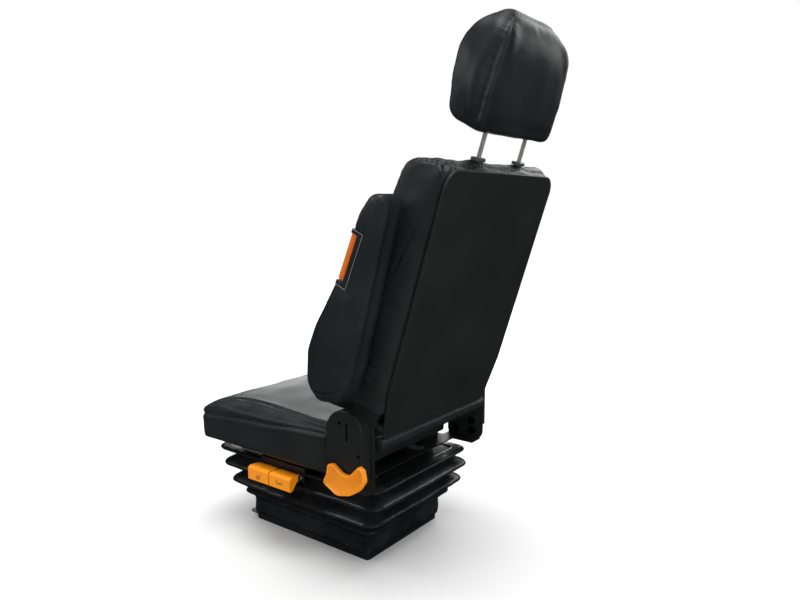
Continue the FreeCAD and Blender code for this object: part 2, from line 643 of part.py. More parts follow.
def housing():
    """The upper suspension frame: a plate with turned-down walls."""
    bottom = RIDE_HEIGHT - HOUSING_DROP
    outer = plate_z(rectangle(BASE_HALF_X, -BASE_HALF_Y, BASE_HALF_Y, TRAY_CORNER_R), bottom, RIDE_HEIGHT)
    half_x = BASE_HALF_X - HOUSING_SHEET
    half_y = BASE_HALF_Y - HOUSING_SHEET
    corner = TRAY_CORNER_R - HOUSING_SHEET
    hollow = plate_z(rectangle(half_x, -half_y, half_y, corner), bottom - 1, HOUSING_UNDER)
    shell = outer.cut(hollow)
    window_half = TRACK_X - TRACK_WIDTH / 2 - HOUSING_WINDOW_GAP
    for y in (-BASE_HALF_Y + 36, BASE_HALF_Y - 71):
        window = plate_z(rectangle(window_half, y - 22, y + 22, 10.0), HOUSING_UNDER - 1, RIDE_HEIGHT + 1)
        shell = shell.cut(window)
    welded = [shell, flange_ring()]
    upper_seat = spring_seat(HOUSING_UNDER - SPRING_SEAT_HEIGHT, False)
    for bracket in (roller_channel(UPPER_PIVOT_Z), upper_ear(), upper_seat):
        welded.append(bracket)
        welded.append(mirrored(bracket))
    return fused(welded)


def flange_ring():
    """The flange round the housing's top that carries the top roll of the gaiter."""
    inset = BELLOWS_WALL + 6.0
    z1 = RIDE_HEIGHT + TRACK_SHEET
    outer = plate_z(roll_outline(inset, TOP_ROLL_CORNER - inset), RIDE_HEIGHT, z1)
    half_x = BASE_HALF_X - RING_INNER
    half_y = BASE_HALF_Y - RING_INNER
    inner = plate_z(rectangle(half_x, -half_y, half_y, TRAY_CORNER_R), RIDE_HEIGHT - 1, z1 + 1)
    return outer.cut(inner)


def lower_track():
    half = TRACK_WIDTH / 2
    y0 = -TRACK_LOWER_LENGTH / 2
    y1 = TRACK_LOWER_LENGTH / 2
    z0 = RIDE_HEIGHT
    block = box(TRACK_X - half, TRACK_X + half, y0, y1, z0, z0 + TRACK_LOWER_HEIGHT)
    room = box(
        TRACK_X - half + TRACK_SHEET, TRACK_X + half - TRACK_SHEET, y0 - 1, y1 + 1,
        z0 + TRACK_SHEET, z0 + TRACK_LOWER_HEIGHT - TRACK_SHEET,
    )
    lip = half - TRACK_SHEET - TRACK_LIP
    mouth = box(TRACK_X - lip, TRACK_X + lip, y0 - 1, y1 + 1, z0 + TRACK_SHEET, z0 + TRACK_LOWER_HEIGHT + 1)
    return block.cut(room).cut(mouth)


def upper_track():
    """An upturned T that runs inside the lower track and carries the seat frame."""
    half = TRACK_WIDTH / 2 - TRACK_SHEET - TRACK_PLAY
    y0 = TRACK_UPPER_Y - TRACK_UPPER_LENGTH / 2
    y1 = TRACK_UPPER_Y + TRACK_UPPER_LENGTH / 2
    z0 = RIDE_HEIGHT + TRACK_SHEET + TRACK_PLAY
    foot_top = RIDE_HEIGHT + TRACK_LOWER_HEIGHT - TRACK_SHEET - TRACK_PLAY
    foot = box(TRACK_X - half, TRACK_X + half, y0, y1, z0, foot_top)
    stem_half = half - TRACK_LIP - 1.0
    stem = box(TRACK_X - stem_half, TRACK_X + stem_half, y0, y1, z0, TRACK_TOP)
    return fused([foot, stem])


def seat_frame():
    """The sliding plate with the two upright flanges that hold the recliner brackets."""
    plate = box(-FRAME_HALF_WIDTH, FRAME_HALF_WIDTH, FRAME_FRONT_Y, FRAME_PLATE_REAR_Y, TRACK_TOP, FRAME_TOP)
    flange_x = BRACKET_X - FRAME_SHEET
    front = RECLINE_Y + BRACKET_SHIFT_Y - BRACKET_R + 4
    wing = box(FRAME_HALF_WIDTH - 12, BRACKET_X, front, FRAME_REAR_Y, TRACK_TOP, FRAME_TOP)
    flange = box(flange_x, BRACKET_X, front, FRAME_REAR_Y, TRACK_TOP, TRACK_TOP + FRAME_FLANGE_HEIGHT)
    frame = fused([plate, wing, flange, mirrored(wing), mirrored(flange)])
    edge = TRACK_X - TRACK_WIDTH / 2 - FRAME_WINDOW_GAP
    for side in (-1, 1):
        for y in (-90.0, 60.0):
            near = side * 20
            far = side * edge
            window = plate_z(
                [(near, y - 50, 12), (far, y - 50, 12), (far, y + 50, 12), (near, y + 50, 12)],
                TRACK_TOP - 1,
                FRAME_TOP + 1,
            )
            frame = frame.cut(window)
    rear_window = plate_z(
        rectangle(edge - 2, FRAME_PLATE_REAR_Y - 90, FRAME_PLATE_REAR_Y - 16, 14.0),
        TRACK_TOP - 1, FRAME_TOP + 1,
    )
    frame = frame.cut(rear_window)
    reach = RELEASE_BAR_R + 5
    for side in (-1, 1):
        x = side * RELEASE_BAR_X
        notch = box(
            x - reach, x + reach, FRAME_FRONT_Y - 1, RELEASE_BAR_PIVOT_Y + 14, TRACK_TOP - 1, FRAME_TOP + 1,
        )
        frame = frame.cut(notch)
        ear_x = x + side * (RELEASE_BAR_R + 5 + FRAME_SHEET / 2)
        ear = box(
            ear_x - FRAME_SHEET / 2, ear_x + FRAME_SHEET / 2,
            RELEASE_BAR_PIVOT_Y - 10, RELEASE_BAR_PIVOT_Y + 10, RELEASE_BAR_Z - 8, FRAME_TOP,
        )
        hole = rod(
            (ear_x - 5, RELEASE_BAR_PIVOT_Y, RELEASE_BAR_Z), (ear_x + 5, RELEASE_BAR_PIVOT_Y, RELEASE_BAR_Z),
            RELEASE_PIN_R,
        )
        frame = fused([frame, ear]).cut(hole)
        tilt_x = side * (TILT_HALF_WIDTH + LAYER_GAP + FRAME_SHEET / 2)
        tilt_ear = box(
            tilt_x - FRAME_SHEET / 2, tilt_x + FRAME_SHEET / 2,
            TILT_PIVOT_Y - 7, TILT_PIVOT_Y + 7, TRACK_TOP, PAN_TOP - 2.0,
        )
        tilt_hole = rod(
            (tilt_x - 5, TILT_PIVOT_Y, TILT_PIVOT_Z), (tilt_x + 5, TILT_PIVOT_Y, TILT_PIVOT_Z), TILT_PIN_R,
        )
        frame = fused([frame, tilt_ear]).cut(tilt_hole)
    for point in bracket_bolt_places():
        for side in (-1, 1):
            hole = rod((side * (flange_x - 1),) + point, (side * (BRACKET_X + 1),) + point, BRACKET_BOLT_R)
            frame = frame.cut(hole)
    return fused([frame])


def bracket_bolt_places():
    low = TRACK_TOP + 20
    high = TRACK_TOP + FRAME_FLANGE_HEIGHT - 16
    return [(RECLINE_Y - 22, low), (RECLINE_Y + 34, low + 2), (RECLINE_Y + 31, high)]


def bracket_outline():
    y = RECLINE_Y + BRACKET_SHIFT_Y
    front = y - BRACKET_R
    rear = y + BRACKET_R
    top = RECLINE_Z - 3 + BRACKET_R
    full = BRACKET_R - 0.01
    return [
        (front, BRACKET_FOOT_Z, 22), (rear, BRACKET_FOOT_Z, 30),
        (rear, top, full), (front, top, full),
    ]


def recliner_bracket():
    plate = plate_x(bracket_outline(), BRACKET_X, BRACKET_X + BRACKET_THICK)
    shaft_hole = rod(
        (BRACKET_X - 1, RECLINE_Y, RECLINE_Z), (COVER_OUTER_X, RECLINE_Y, RECLINE_Z), RECLINE_SHAFT_R,
    )
    plate = plate.cut(shaft_hole)
    for y, z in bracket_bolt_places():
        plate = plate.cut(rod((BRACKET_X - 1, y, z), (BRACKET_X + BRACKET_THICK + 1, y, z), BRACKET_BOLT_R))
    return plate


def bracket_bolts():
    bolts = []
    inner = BRACKET_X - FRAME_SHEET
    outer = BRACKET_X + BRACKET_THICK
    for y, z in bracket_bolt_places():
        shank = rod((inner - 7, y, z), (outer, y, z), BRACKET_BOLT_R)
        washer = rod((inner - 2, y, z), (inner, y, z), BRACKET_BOLT_R + 6)
        nut = Part.Face(Part.makePolygon([
            V(inner - 8, y + 9 * math.cos(math.pi * k / 3), z + 9 * math.sin(math.pi * k / 3)) for k in range(7)
        ])).extrude(V(6, 0, 0))
        bolt = fused([shank, washer, nut])
        bolts.append(bolt)
        bolts.append(mirrored(bolt))
    return Part.makeCompound(bolts)


def cover_outline(shrink):
    radius = COVER_R - shrink
    top = RECLINE_Z + radius
    full = radius - 0.01
    return [
        (RECLINE_Y - radius, COVER_FOOT_Z - 1, 0), (RECLINE_Y + radius, COVER_FOOT_Z - 1, 0),
        (RECLINE_Y + radius, top, full), (RECLINE_Y - radius, top, full),
    ]


def recliner_cover():
    """A moulded cap over the recliner, open at the bottom and towards the seat."""
    inner_x = BRACKET_X + BRACKET_THICK
    solid = plate_x(cover_outline(0.0), inner_x, COVER_OUTER_X)
    solid = softened(
        solid, 4.0,
        lambda e: e.BoundBox.XMin > COVER_OUTER_X - 0.1 and e.BoundBox.ZMax > COVER_FOOT_Z + 5,
    )
    room = plate_x(cover_outline(COVER_WALL), inner_x - 1, COVER_OUTER_X - COVER_WALL)
    skirt = box(inner_x - 1, COVER_OUTER_X + 1, RECLINE_Y - 80, RECLINE_Y + 80, 0, COVER_FOOT_Z)
    slot = plate_x(
        [
            (RECLINE_Y + 6, RECLINE_Z - 14, 2), (RECLINE_Y + 12, RECLINE_Z - 14, 2),
            (RECLINE_Y + 12, RECLINE_Z + 27, 2), (RECLINE_Y + 6, RECLINE_Z + 27, 2),
        ],
        COVER_OUTER_X - COVER_WALL - 1, COVER_OUTER_X + 1,
    )
    cover = solid.cut(room).cut(skirt).cut(slot)
    for y, z in cover_screw_places():
        post = rod((inner_x, y, z), (COVER_OUTER_X - 1, y, z), 5.0)
        bore = rod((inner_x - 1, y, z), (COVER_OUTER_X + 1, y, z), 2.0)
        head = rod((COVER_OUTER_X - 2.2, y, z), (COVER_OUTER_X + 1, y, z), 3.8)
        cover = cover.fuse(post).cut(bore).cut(head)
    return fused([cover])


def cover_screw_places():
    return [(RECLINE_Y - 12, RECLINE_Z + 24), (RECLINE_Y + 43, COVER_FOOT_Z + 60)]


def cover_screws():
    screws = []
    for y, z in cover_screw_places():
        shank = rod((BRACKET_X + BRACKET_THICK, y, z), (COVER_OUTER_X - 2.2, y, z), 2.0)
        head = rod((COVER_OUTER_X - 2.2, y, z), (COVER_OUTER_X - 0.4, y, z), 3.6)
        screw = fused([shank, head])
        screws.append(screw)
        screws.append(mirrored(screw))
    return Part.makeCompound(screws)


def crescent(shrink, x0, x1):
    """The lever's cup outline, drawn about the recliner axis and drawn in by a margin for the dish."""
    m = shrink
    outline = [
        (-36 + m, -70 - m, 6), (-20, -68 - m, 8), (20, -93 - m, 36 + m), (56, -55 - 1.6 * m, 5),
        (70 - m, -63 - m, 5), (75 - m, -90, 14), (58 - m / 2, -114 + m / 2, 24), (30, -132 + m, 30 - m),
        (-8, -141 + m, 26 - m), (-52 + m, -118, 8), (-40 + m, -95, 6),
    ]
    corners = [(RECLINE_Y + y, RECLINE_Z + z, max(r, 2)) for y, z, r in outline]
    return plate_x(corners, x0, x1)


def recliner_lever():
    inner = LEVER_FACE_X - LEVER_DEPTH
    cup = crescent(1.0, inner, LEVER_FACE_X)
    cup = softened(cup, 3.0, lambda e: e.BoundBox.XMin > LEVER_FACE_X - 0.1)
    dish = crescent(LEVER_RIM, LEVER_FACE_X - LEVER_DISH, LEVER_FACE_X + 1)
    cup = cup.cut(dish)
    arm_x = COVER_OUTER_X - COVER_WALL - 3 - LEVER_ARM_THICK
    half = LEVER_ARM_WIDTH / 2
    foot = COVER_FOOT_Z - 30
    arm = box(arm_x, arm_x + LEVER_ARM_THICK, RECLINE_Y - half, RECLINE_Y + half, foot, RECLINE_Z)
    hub = rod((arm_x, RECLINE_Y, RECLINE_Z), (arm_x + LEVER_ARM_THICK, RECLINE_Y, RECLINE_Z), half + 2)
    neck = box(arm_x, inner + 1, RECLINE_Y - half, RECLINE_Y + half, foot + 4, COVER_FOOT_Z - 10)
    lever = fused([cup, arm, hub, neck])
    bore = rod(
        (arm_x - 1, RECLINE_Y, RECLINE_Z), (arm_x + LEVER_ARM_THICK + 1, RECLINE_Y, RECLINE_Z),
        RECLINE_SHAFT_R + RUNNING_FIT,
    )
    return lever.cut(bore)


def recliner_shaft():
    end = COVER_OUTER_X - COVER_WALL - 1
    return rod((-end, RECLINE_Y, RECLINE_Z), (end, RECLINE_Y, RECLINE_Z), RECLINE_SHAFT_R)


def tilt_frame():
    front = FRAME_FRONT_Y + 5
    rear = TILT_PIVOT_Y - 12
    plate = box(-TILT_HALF_WIDTH, TILT_HALF_WIDTH, front, rear, TILT_BOTTOM, TILT_TOP)
    window_half = RUNNER_X - RUNNER_WIDTH / 2 - 15
    window = plate_z(rectangle(window_half, front + 40, rear - 40, 16.0), TILT_BOTTOM - 1, TILT_TOP + 1)
    plate = plate.cut(window)
    shapes = [plate]
    for side in (-1, 1):
        x = side * (TILT_HALF_WIDTH - TILT_SHEET / 2)
        half = TILT_SHEET / 2
        shapes.append(box(x - half, x + half, rear - 6, TILT_PIVOT_Y + 6, TILT_BOTTOM, PAN_TOP - 1))
    frame = fused(shapes)
    reach = TILT_HALF_WIDTH + 1
    bore = rod(
        (-reach, TILT_PIVOT_Y, TILT_PIVOT_Z), (reach, TILT_PIVOT_Y, TILT_PIVOT_Z), TILT_PIN_R + RUNNING_FIT,
    )
    return frame.cut(bore)


def tilt_pins():
    start = TILT_HALF_WIDTH - TILT_SHEET - 3
    end = TILT_HALF_WIDTH + LAYER_GAP + FRAME_SHEET + 1
    pin = rod((start, TILT_PIVOT_Y, TILT_PIVOT_Z), (end, TILT_PIVOT_Y, TILT_PIVOT_Z), TILT_PIN_R)
    return Part.makeCompound([pin, mirrored(pin)])


def cushion_pan():
    """The plate under the cushion, with two channels that slide on the tilt frame."""
    floor = plate_z(
        [
            (-PAN_HALF_WIDTH, PAN_FRONT_Y, 40), (PAN_HALF_WIDTH, PAN_FRONT_Y, 40),
            (PAN_HALF_WIDTH, PAN_REAR_Y, 15), (-PAN_HALF_WIDTH, PAN_REAR_Y, 15),
        ],
        PAN_TOP - PAN_SHEET, PAN_TOP,
    )
    shapes = [floor]
    half = RUNNER_WIDTH / 2
    for side in (-1, 1):
        x = side * RUNNER_X
        for wall_x in (x - half, x + half - RUNNER_WALL):
            shapes.append(box(
                wall_x, wall_x + RUNNER_WALL, FRAME_FRONT_Y + 10, PAN_REAR_Y - 4,
                TILT_TOP + CLEAR, PAN_TOP - PAN_SHEET,
            ))
    pan = fused(shapes)
    window = plate_z(
        rectangle(RUNNER_X - half - 30, PAN_FRONT_Y + 102, PAN_REAR_Y - 58, 20.0),
        PAN_TOP - PAN_SHEET - 1, PAN_TOP + 1,
    )
    return pan.cut(window)


def depth_guides():
    """Four nylon blocks on the tilt frame, one at each end of both channels."""
    half = RUNNER_WIDTH / 2 - RUNNER_WALL - TRACK_PLAY
    blocks = []
    for x in (-RUNNER_X, RUNNER_X):
        for y in (FRAME_FRONT_Y + 20 + GUIDE_LENGTH / 2, PAN_REAR_Y - DEPTH_TRAVEL - 8 - GUIDE_LENGTH / 2):
            blocks.append(box(
                x - half, x + half, y - GUIDE_LENGTH / 2, y + GUIDE_LENGTH / 2,
                TILT_TOP, PAN_TOP - PAN_SHEET - CLEAR,
            ))
    return Part.makeCompound(blocks)


def seat_cushion():
    """A closed foam block: the side profile, cut to its plan, with rounded edges."""
    half = CUSHION_WIDTH / 2
    profile = [
        (CUSHION_REAR_Y, CUSHION_BOTTOM, 4), (CUSHION_FRONT_Y + 16, CUSHION_BOTTOM, 10),
        (CUSHION_FRONT_Y, CUSHION_BOTTOM + 52, 30), (CUSHION_FRONT_Y + 22, CUSHION_TOP - 20, 36),
        (CUSHION_FRONT_Y + 150, CUSHION_TOP, 200), (CUSHION_REAR_Y, CUSHION_TOP - 4, 8),
    ]
    block = plate_x(profile, -half, half)
    plan = plate_z(
        [
            (-half, CUSHION_FRONT_Y - 1, 36), (half, CUSHION_FRONT_Y - 1, 36),
            (half, CUSHION_SIDE_END_Y, 14), (CUSHION_REAR_HALF, CUSHION_SIDE_END_Y + 2, 6),
            (CUSHION_REAR_HALF, CUSHION_REAR_Y + 1, 4), (-CUSHION_REAR_HALF, CUSHION_REAR_Y + 1, 4),
            (-CUSHION_REAR_HALF, CUSHION_SIDE_END_Y + 2, 6), (-half, CUSHION_SIDE_END_Y, 14),
        ],
        CUSHION_BOTTOM - 1, CUSHION_TOP + 1,
    )
    cushion = block.common(plan)
    crown = plate_y(
        [
            (-half - 1, CUSHION_BOTTOM - 1, 0), (half + 1, CUSHION_BOTTOM - 1, 0),
            (half + 1, CUSHION_TOP - CUSHION_EDGE_DROP, 10), (half - 60, CUSHION_TOP + 1, 120),
            (-half + 60, CUSHION_TOP + 1, 120), (-half - 1, CUSHION_TOP - CUSHION_EDGE_DROP, 10),
        ],
        CUSHION_FRONT_Y - 5, CUSHION_REAR_Y + 5,
    )
    return fused([cushion.common(crown)])


def backrest_profile(front_scale):
    """Side outline of the backrest as (-d, w, radius)."""
    s = front_scale
    return [
        (-PANEL_THICK - CLEAR, 10, 4), (-PANEL_THICK - CLEAR, PANEL_HEIGHT - 8, 14),
        (-38, BACK_HEIGHT + 2, 26), (-104 * s, BACK_HEIGHT - 22, 40), (-122 * s, BACK_HEIGHT - 125, 200),
        (-150 * s, BACK_HEIGHT - 335, 300), (-202 * s, 110, 120), (-220 * s, 44, 26), (-176 * s, 9, 26),
        (-108, 18, 10),
    ]


def backrest_foam():
    """The foam body: a middle field between two deeper side wings, hollow behind."""
    middle = plate_x(backrest_profile(0.78), -BACK_HALF_WIDTH, BACK_HALF_WIDTH)
    wing = plate_x(backrest_profile(1.0), BACK_HALF_WIDTH - WING_WIDTH, BACK_HALF_WIDTH)
    wing = softened(
        wing, WING_ROUND, lambda e: e.BoundBox.XMin > BACK_HALF_WIDTH - 0.1 and e.BoundBox.YMax < -40,
    )
    trim_half = BACK_HALF_WIDTH - WING_WIDTH + WING_LAP
    middle_trim = box(-trim_half, trim_half, -WING_DEPTH, 0, -10, BACK_HEIGHT + 10)
    body = fused([middle.common(middle_trim), wing, mirrored(wing)])
    front_view = plate_y(
        [
            (-BACK_HALF_WIDTH, -5, 0), (BACK_HALF_WIDTH, -5, 0),
            (BACK_HALF_WIDTH, BACK_HEIGHT + 3, BACK_CORNER_R),
            (-BACK_HALF_WIDTH, BACK_HEIGHT + 3, BACK_CORNER_R),
        ],
        -WING_DEPTH, 0,
    )
    body = body.common(front_view)
    cavity_half = BACK_HALF_WIDTH - FOAM_RIM
    cavity_back = PANEL_THICK
    cavity = box(-cavity_half, cavity_half, -cavity_back - CAVITY_DEPTH, 1, FOAM_RIM + 4, CAVITY_TOP)
    body = body.cut(cavity)
    pocket_x = HINGE_PLATE_X - 2
    turn = rod((pocket_x, -HINGE_D, HINGE_W), (BACK_HALF_WIDTH + 1, -HINGE_D, HINGE_W), BRACKET_R + 9)
    rear_corner = box(pocket_x, BACK_HALF_WIDTH + 1, -HINGE_D + 12, 1, -60, 54)
    plate_slot = box(
        pocket_x, HINGE_PLATE_X + HINGE_PLATE_THICK + 1, -HINGE_D - HINGE_HUB_R, 1,
        -60, HINGE_PLATE_TOP + 3,
    )
    pocket = fused([turn, rear_corner, plate_slot])
    cross = box(
        -pocket_x - 1, pocket_x + 1, -BACK_TUBE_D - BACK_TUBE_R - 2, 1,
        CROSS_TUBE_W - BACK_TUBE_R - 2, CROSS_TUBE_W + BACK_TUBE_R + 2,
    )
    body = body.cut(pocket).cut(mirrored(pocket)).cut(cross)
    for x in (-POST_HALF_SPACING, POST_HALF_SPACING):
        sleeve_room = rod((x, -POST_D, CAVITY_TOP - 5), (x, -POST_D, BACK_HEIGHT + 20), GUIDE_TUBE_R + 1.5)
        body = body.cut(sleeve_room)
    boss = rod((BACK_TUBE_HALF, -ARM_D, ARM_W), (BACK_HALF_WIDTH + 1, -ARM_D, ARM_W), ARM_BOSS_R + 1.5)
    plate_room = box(
        BACK_TUBE_HALF + BACK_TUBE_R - 1, BACK_TUBE_HALF + BACK_TUBE_R + 7,
        -ARM_D - 24, -CAVITY_DEPTH, ARM_W - 34, ARM_W + 34,
    )
    return leaned(fused([body.cut(boss).cut(plate_room)]))


def panel_outline():
    half = BACK_HALF_WIDTH - PANEL_INSET
    waist = BACK_WAIST_HALF - PANEL_INSET
    top = PANEL_HEIGHT
    return [
        (-waist, 0, 8), (waist, 0, 8), (half, BACK_WAIST_W, 90),
        (half, top, BACK_CORNER_R - 6), (-half, top, BACK_CORNER_R - 6), (-half, BACK_WAIST_W, 90),
    ]


def rear_panel():
    panel = plate_y(panel_outline(), -PANEL_THICK, 0)
    panel = softened(panel, 3.0, lambda e: e.BoundBox.YMin > -0.1)
    return leaned(panel)


def lower_roll():
    """The sewn roll under the rear panel."""
    w = -ROLL_R - CLEAR
    roll = rod((-ROLL_HALF, -8, w), (ROLL_HALF, -8, w), ROLL_R)
    roll = softened(roll, 8.0, lambda e: e.BoundBox.XLength < 0.1)
    return leaned(roll)


def bent_tube(points, bend, radius):
    """A round bar along straight runs joined by tangent arcs."""
    edges = []
    previous = V(*points[0])
    for i in range(1, len(points) - 1):
        here = V(*points[i])
        to_back = (V(*points[i - 1]) - here).normalize()
        to_ahead = (V(*points[i + 1]) - here).normalize()
        half = to_back.getAngle(to_ahead) / 2
        trim = bend / math.tan(half)
        enter = here + to_back * trim
        leave = here + to_ahead * trim
        bisector = (to_back + to_ahead).normalize()
        middle = here + bisector * (bend / math.sin(half) - bend)
        edges.append(Part.LineSegment(previous, enter).toShape())
        edges.append(Part.Arc(enter, middle, leave).toShape())
        previous = leave
    edges.append(Part.LineSegment(previous, V(*points[-1])).toShape())
    path = Part.Wire(edges)
    direction = V(*points[1]) - V(*points[0])
    section = Part.Wire(Part.makeCircle(radius, V(*points[0]), direction))
    return path.makePipeShell([section], True, False)


def backrest_frame():
    half = BACK_TUBE_HALF
    low = CROSS_TUBE_W
    loop = bent_tube(
        [(-half, -BACK_TUBE_D, low), (-half, -BACK_TUBE_D, BACK_TUBE_TOP),
         (half, -BACK_TUBE_D, BACK_TUBE_TOP), (half, -BACK_TUBE_D, low)],
        BACK_TUBE_BEND, BACK_TUBE_R,
    )
    shapes = [loop]
    plate_x_in = HINGE_PLATE_X
    shapes.append(rod((-plate_x_in, -BACK_TUBE_D, low), (plate_x_in, -BACK_TUBE_D, low), BACK_TUBE_R))
    shapes.append(rod((-half, -BACK_TUBE_D, CROSS_BAR_W), (half, -BACK_TUBE_D, CROSS_BAR_W), BACK_TUBE_R - 2))
    for x in (-POST_HALF_SPACING, POST_HALF_SPACING):
        holder = rod((x, -POST_D, BACK_TUBE_TOP - 40), (x, -POST_D, BACK_TUBE_TOP + 24), GUIDE_TUBE_R + 3.5)
        shapes.append(holder)
    frame = fused(shapes)
    for x in (-POST_HALF_SPACING, POST_HALF_SPACING):
        frame = frame.cut(rod(
            (x, -POST_D, BACK_TUBE_TOP - 45), (x, -POST_D, BACK_TUBE_TOP + 30), GUIDE_TUBE_R + RUNNING_FIT,
        ))
    return leaned(fused([frame]))


def hinge_plate():
    """The side arm of the backrest, between the cross tube and the recliner shaft."""
    x0 = HINGE_PLATE_X
    x1 = HINGE_PLATE_X + HINGE_PLATE_THICK
    rear = -BACK_TUBE_D + BACK_TUBE_R + 3
    arm = plate_x(
        [
            (rear, HINGE_PLATE_TOP, 8), (rear - HINGE_PLATE_WIDTH, HINGE_PLATE_TOP, 20),
            (-HINGE_D - HINGE_HUB_R * 0.9, HINGE_W, 4), (-HINGE_D, HINGE_W - HINGE_HUB_R * 0.6, 4),
            (-HINGE_D + HINGE_HUB_R * 0.9, HINGE_W, 6), (rear, 26, 12),
        ],
        x0, x1,
    )
    hub = rod((x0, -HINGE_D, HINGE_W), (x1, -HINGE_D, HINGE_W), HINGE_HUB_R)
    plate = fused([arm, hub])
    bore = rod((x0 - 1, -HINGE_D, HINGE_W), (x1 + 1, -HINGE_D, HINGE_W), RECLINE_SHAFT_R + RUNNING_FIT)
    return leaned(plate.cut(bore))


def headrest_guide(x):
    """The plastic sleeve that the post slides in, with an oval collar on the backrest's top."""
    low = BACK_TUBE_TOP - 44
    seat = BACK_HEIGHT + 2.5
    sleeve = rod((x, -POST_D, low), (x, -POST_D, seat + 2), GUIDE_TUBE_R)
    collar = plate_z([(x - 21, -POST_D - 11, 10.9), (x + 21, -POST_D - 11, 10.9),
                      (x + 21, -POST_D + 11, 10.9), (x - 21, -POST_D + 11, 10.9)], seat, seat + 7)
    collar = softened(collar, 2.5, lambda e: e.BoundBox.ZMin > seat + 6.9)
    guide = fused([sleeve, collar])
    return leaned(guide.cut(rod((x, -POST_D, low - 1), (x, -POST_D, seat + 10), POST_R + RUNNING_FIT)))


def headrest_posts(radius):
    half = POST_HALF_SPACING
    low = BACK_HEIGHT - POST_TAIL
    top = HEAD_BOTTOM + HEAD_POST_INSERT
    return bent_tube(
        [(-half, -POST_D, low), (-half, -POST_D, top), (half, -POST_D, top), (half, -POST_D, low)],
        POST_BEND, radius,
    )


def headrest_pad():
    """A foam pillow with rounded top corners and a flat base."""
    half = HEAD_HALF_WIDTH
    z0 = HEAD_BOTTOM
    z1 = HEAD_BOTTOM + HEAD_HEIGHT
    face = plate_y(
        [
            (-half + 6, z0, 22), (half - 6, z0, 22), (half, z0 + 90, 200),
            (half - 4, z1 - 70, 90), (half - 62, z1, 70), (-half + 62, z1, 70),
            (-half + 4, z1 - 70, 90), (-half, z0 + 90, 200),
        ],
        -HEAD_FRONT_D, -HEAD_REAR_D,
    )
    side = plate_x(
        [
            (-HEAD_FRONT_D + 4, z0 + 14, 34), (-HEAD_REAR_D, z0 - 1, 12),
            (-HEAD_REAR_D, z1 - 60, 70), (-HEAD_REAR_D - 30, z1 + 1, 24),
            (-HEAD_FRONT_D + 40, z1 - 8, 40), (-HEAD_FRONT_D, z1 - 80, 70),
        ],
        -half - 1, half + 1,
    )
    pad = face.common(side)
    return leaned(pad.cut(headrest_posts(POST_R + CLEAR)))


def arm_outline():
    """Side outline of the folded armrest as (y, z, radius), drawn about its pivot."""
    outline = [
        (140, 369, 16), (103, 373, 24), (74, 336, 34), (17, 209, 200),
        (-51, 102, 90), (-77, 44, 60), (-81, -33, 50), (-46, -69, 30),
        (10, -63, 26), (34, -9, 60),
    ]
    return [(ARM_PIVOT_Y + y, ARM_PIVOT_Z + z, radius) for y, z, radius in outline]


def arm_core_shape(x0, x1, grow):
    """The flat blade inside the armrest, from its hub at the pivot up to the tip."""
    half = ARM_CORE_WIDTH / 2 + grow
    blade = box(x0, x1, -half, half, -20, ARM_CORE_LENGTH + grow)
    hub = rod((ARM_INNER_X - 3.0, 0, 0), (x1, 0, 0), ARM_BOSS_R + 3 + grow)
    core = fused([blade, hub])
    core.rotate(V(0, 0, 0), V(1, 0, 0), -ARM_LEAN_DEG)
    core.translate(V(0, ARM_PIVOT_Y, ARM_PIVOT_Z))
    return core


def arm_core():
    x0 = ARM_INNER_X + ARM_WIDTH / 2 - ARM_CORE_THICK / 2
    core = arm_core_shape(x0, x0 + ARM_CORE_THICK, 0.0)
    bore = rod(
        (ARM_INNER_X - 5, ARM_PIVOT_Y, ARM_PIVOT_Z), (x0 + ARM_CORE_THICK + 1, ARM_PIVOT_Y, ARM_PIVOT_Z),
        ARM_BOLT_R + RUNNING_FIT,
    )
    return core.cut(bore)


def wheel_frame(shape):
    """Armrest wheel coordinates (x across, -y out of the face, z along) to the seat's frame."""
    turned = shape.copy()
    turned.rotate(V(0, 0, 0), V(1, 0, 0), -WHEEL_LEAN_DEG)
    turned.translate(V(ARM_INNER_X + ARM_WIDTH / 2 + WHEEL_ASIDE, WHEEL_Y, WHEEL_Z))
    return turned


def bezel_blocks(front, outer, grow):
    """The bezel's tray and its cheek on the armrest's outer side, set back to show the wheel."""
    half = WHEEL_LENGTH / 2 + BEZEL_MARGIN + grow
    wide = BEZEL_WIDTH / 2 + grow
    room = WHEEL_R + WHEEL_ROOM
    tray = box(-wide, wide, -front, BEZEL_DEPTH + grow, -half, half)
    cheek = box(room - grow, outer, CHEEK_FRONT - grow, CHEEK_REAR + grow, -half, half)
    return [tray, cheek]


def wheel_window(outer):
    """The opening at the armrest's outer corner in which the wheel can be seen and turned."""
    half = WHEEL_LENGTH / 2 + WHEEL_ROOM
    return box(WHEEL_R, outer, -10, CHEEK_FRONT, -half, half)


def wheel_well(grow):
    beyond = ARM_WIDTH / 2 - WHEEL_ASIDE + 2
    return fused(bezel_blocks(8.0, beyond, grow) + [wheel_window(beyond)])


def armrest_pad():
    pad = plate_x(arm_outline(), ARM_INNER_X, ARM_INNER_X + ARM_WIDTH)
    pad = softened(pad, 14.0, lambda e: e.BoundBox.XLength < 0.1)
    x0 = ARM_INNER_X + ARM_WIDTH / 2 - ARM_CORE_THICK / 2
    room = arm_core_shape(x0 - CLEAR, x0 + ARM_CORE_THICK + ARM_HEAD_HEIGHT + 1, 2 * CLEAR)
    pad = pad.cut(room).cut(wheel_frame(wheel_well(CLEAR)))
    return fused([pad])


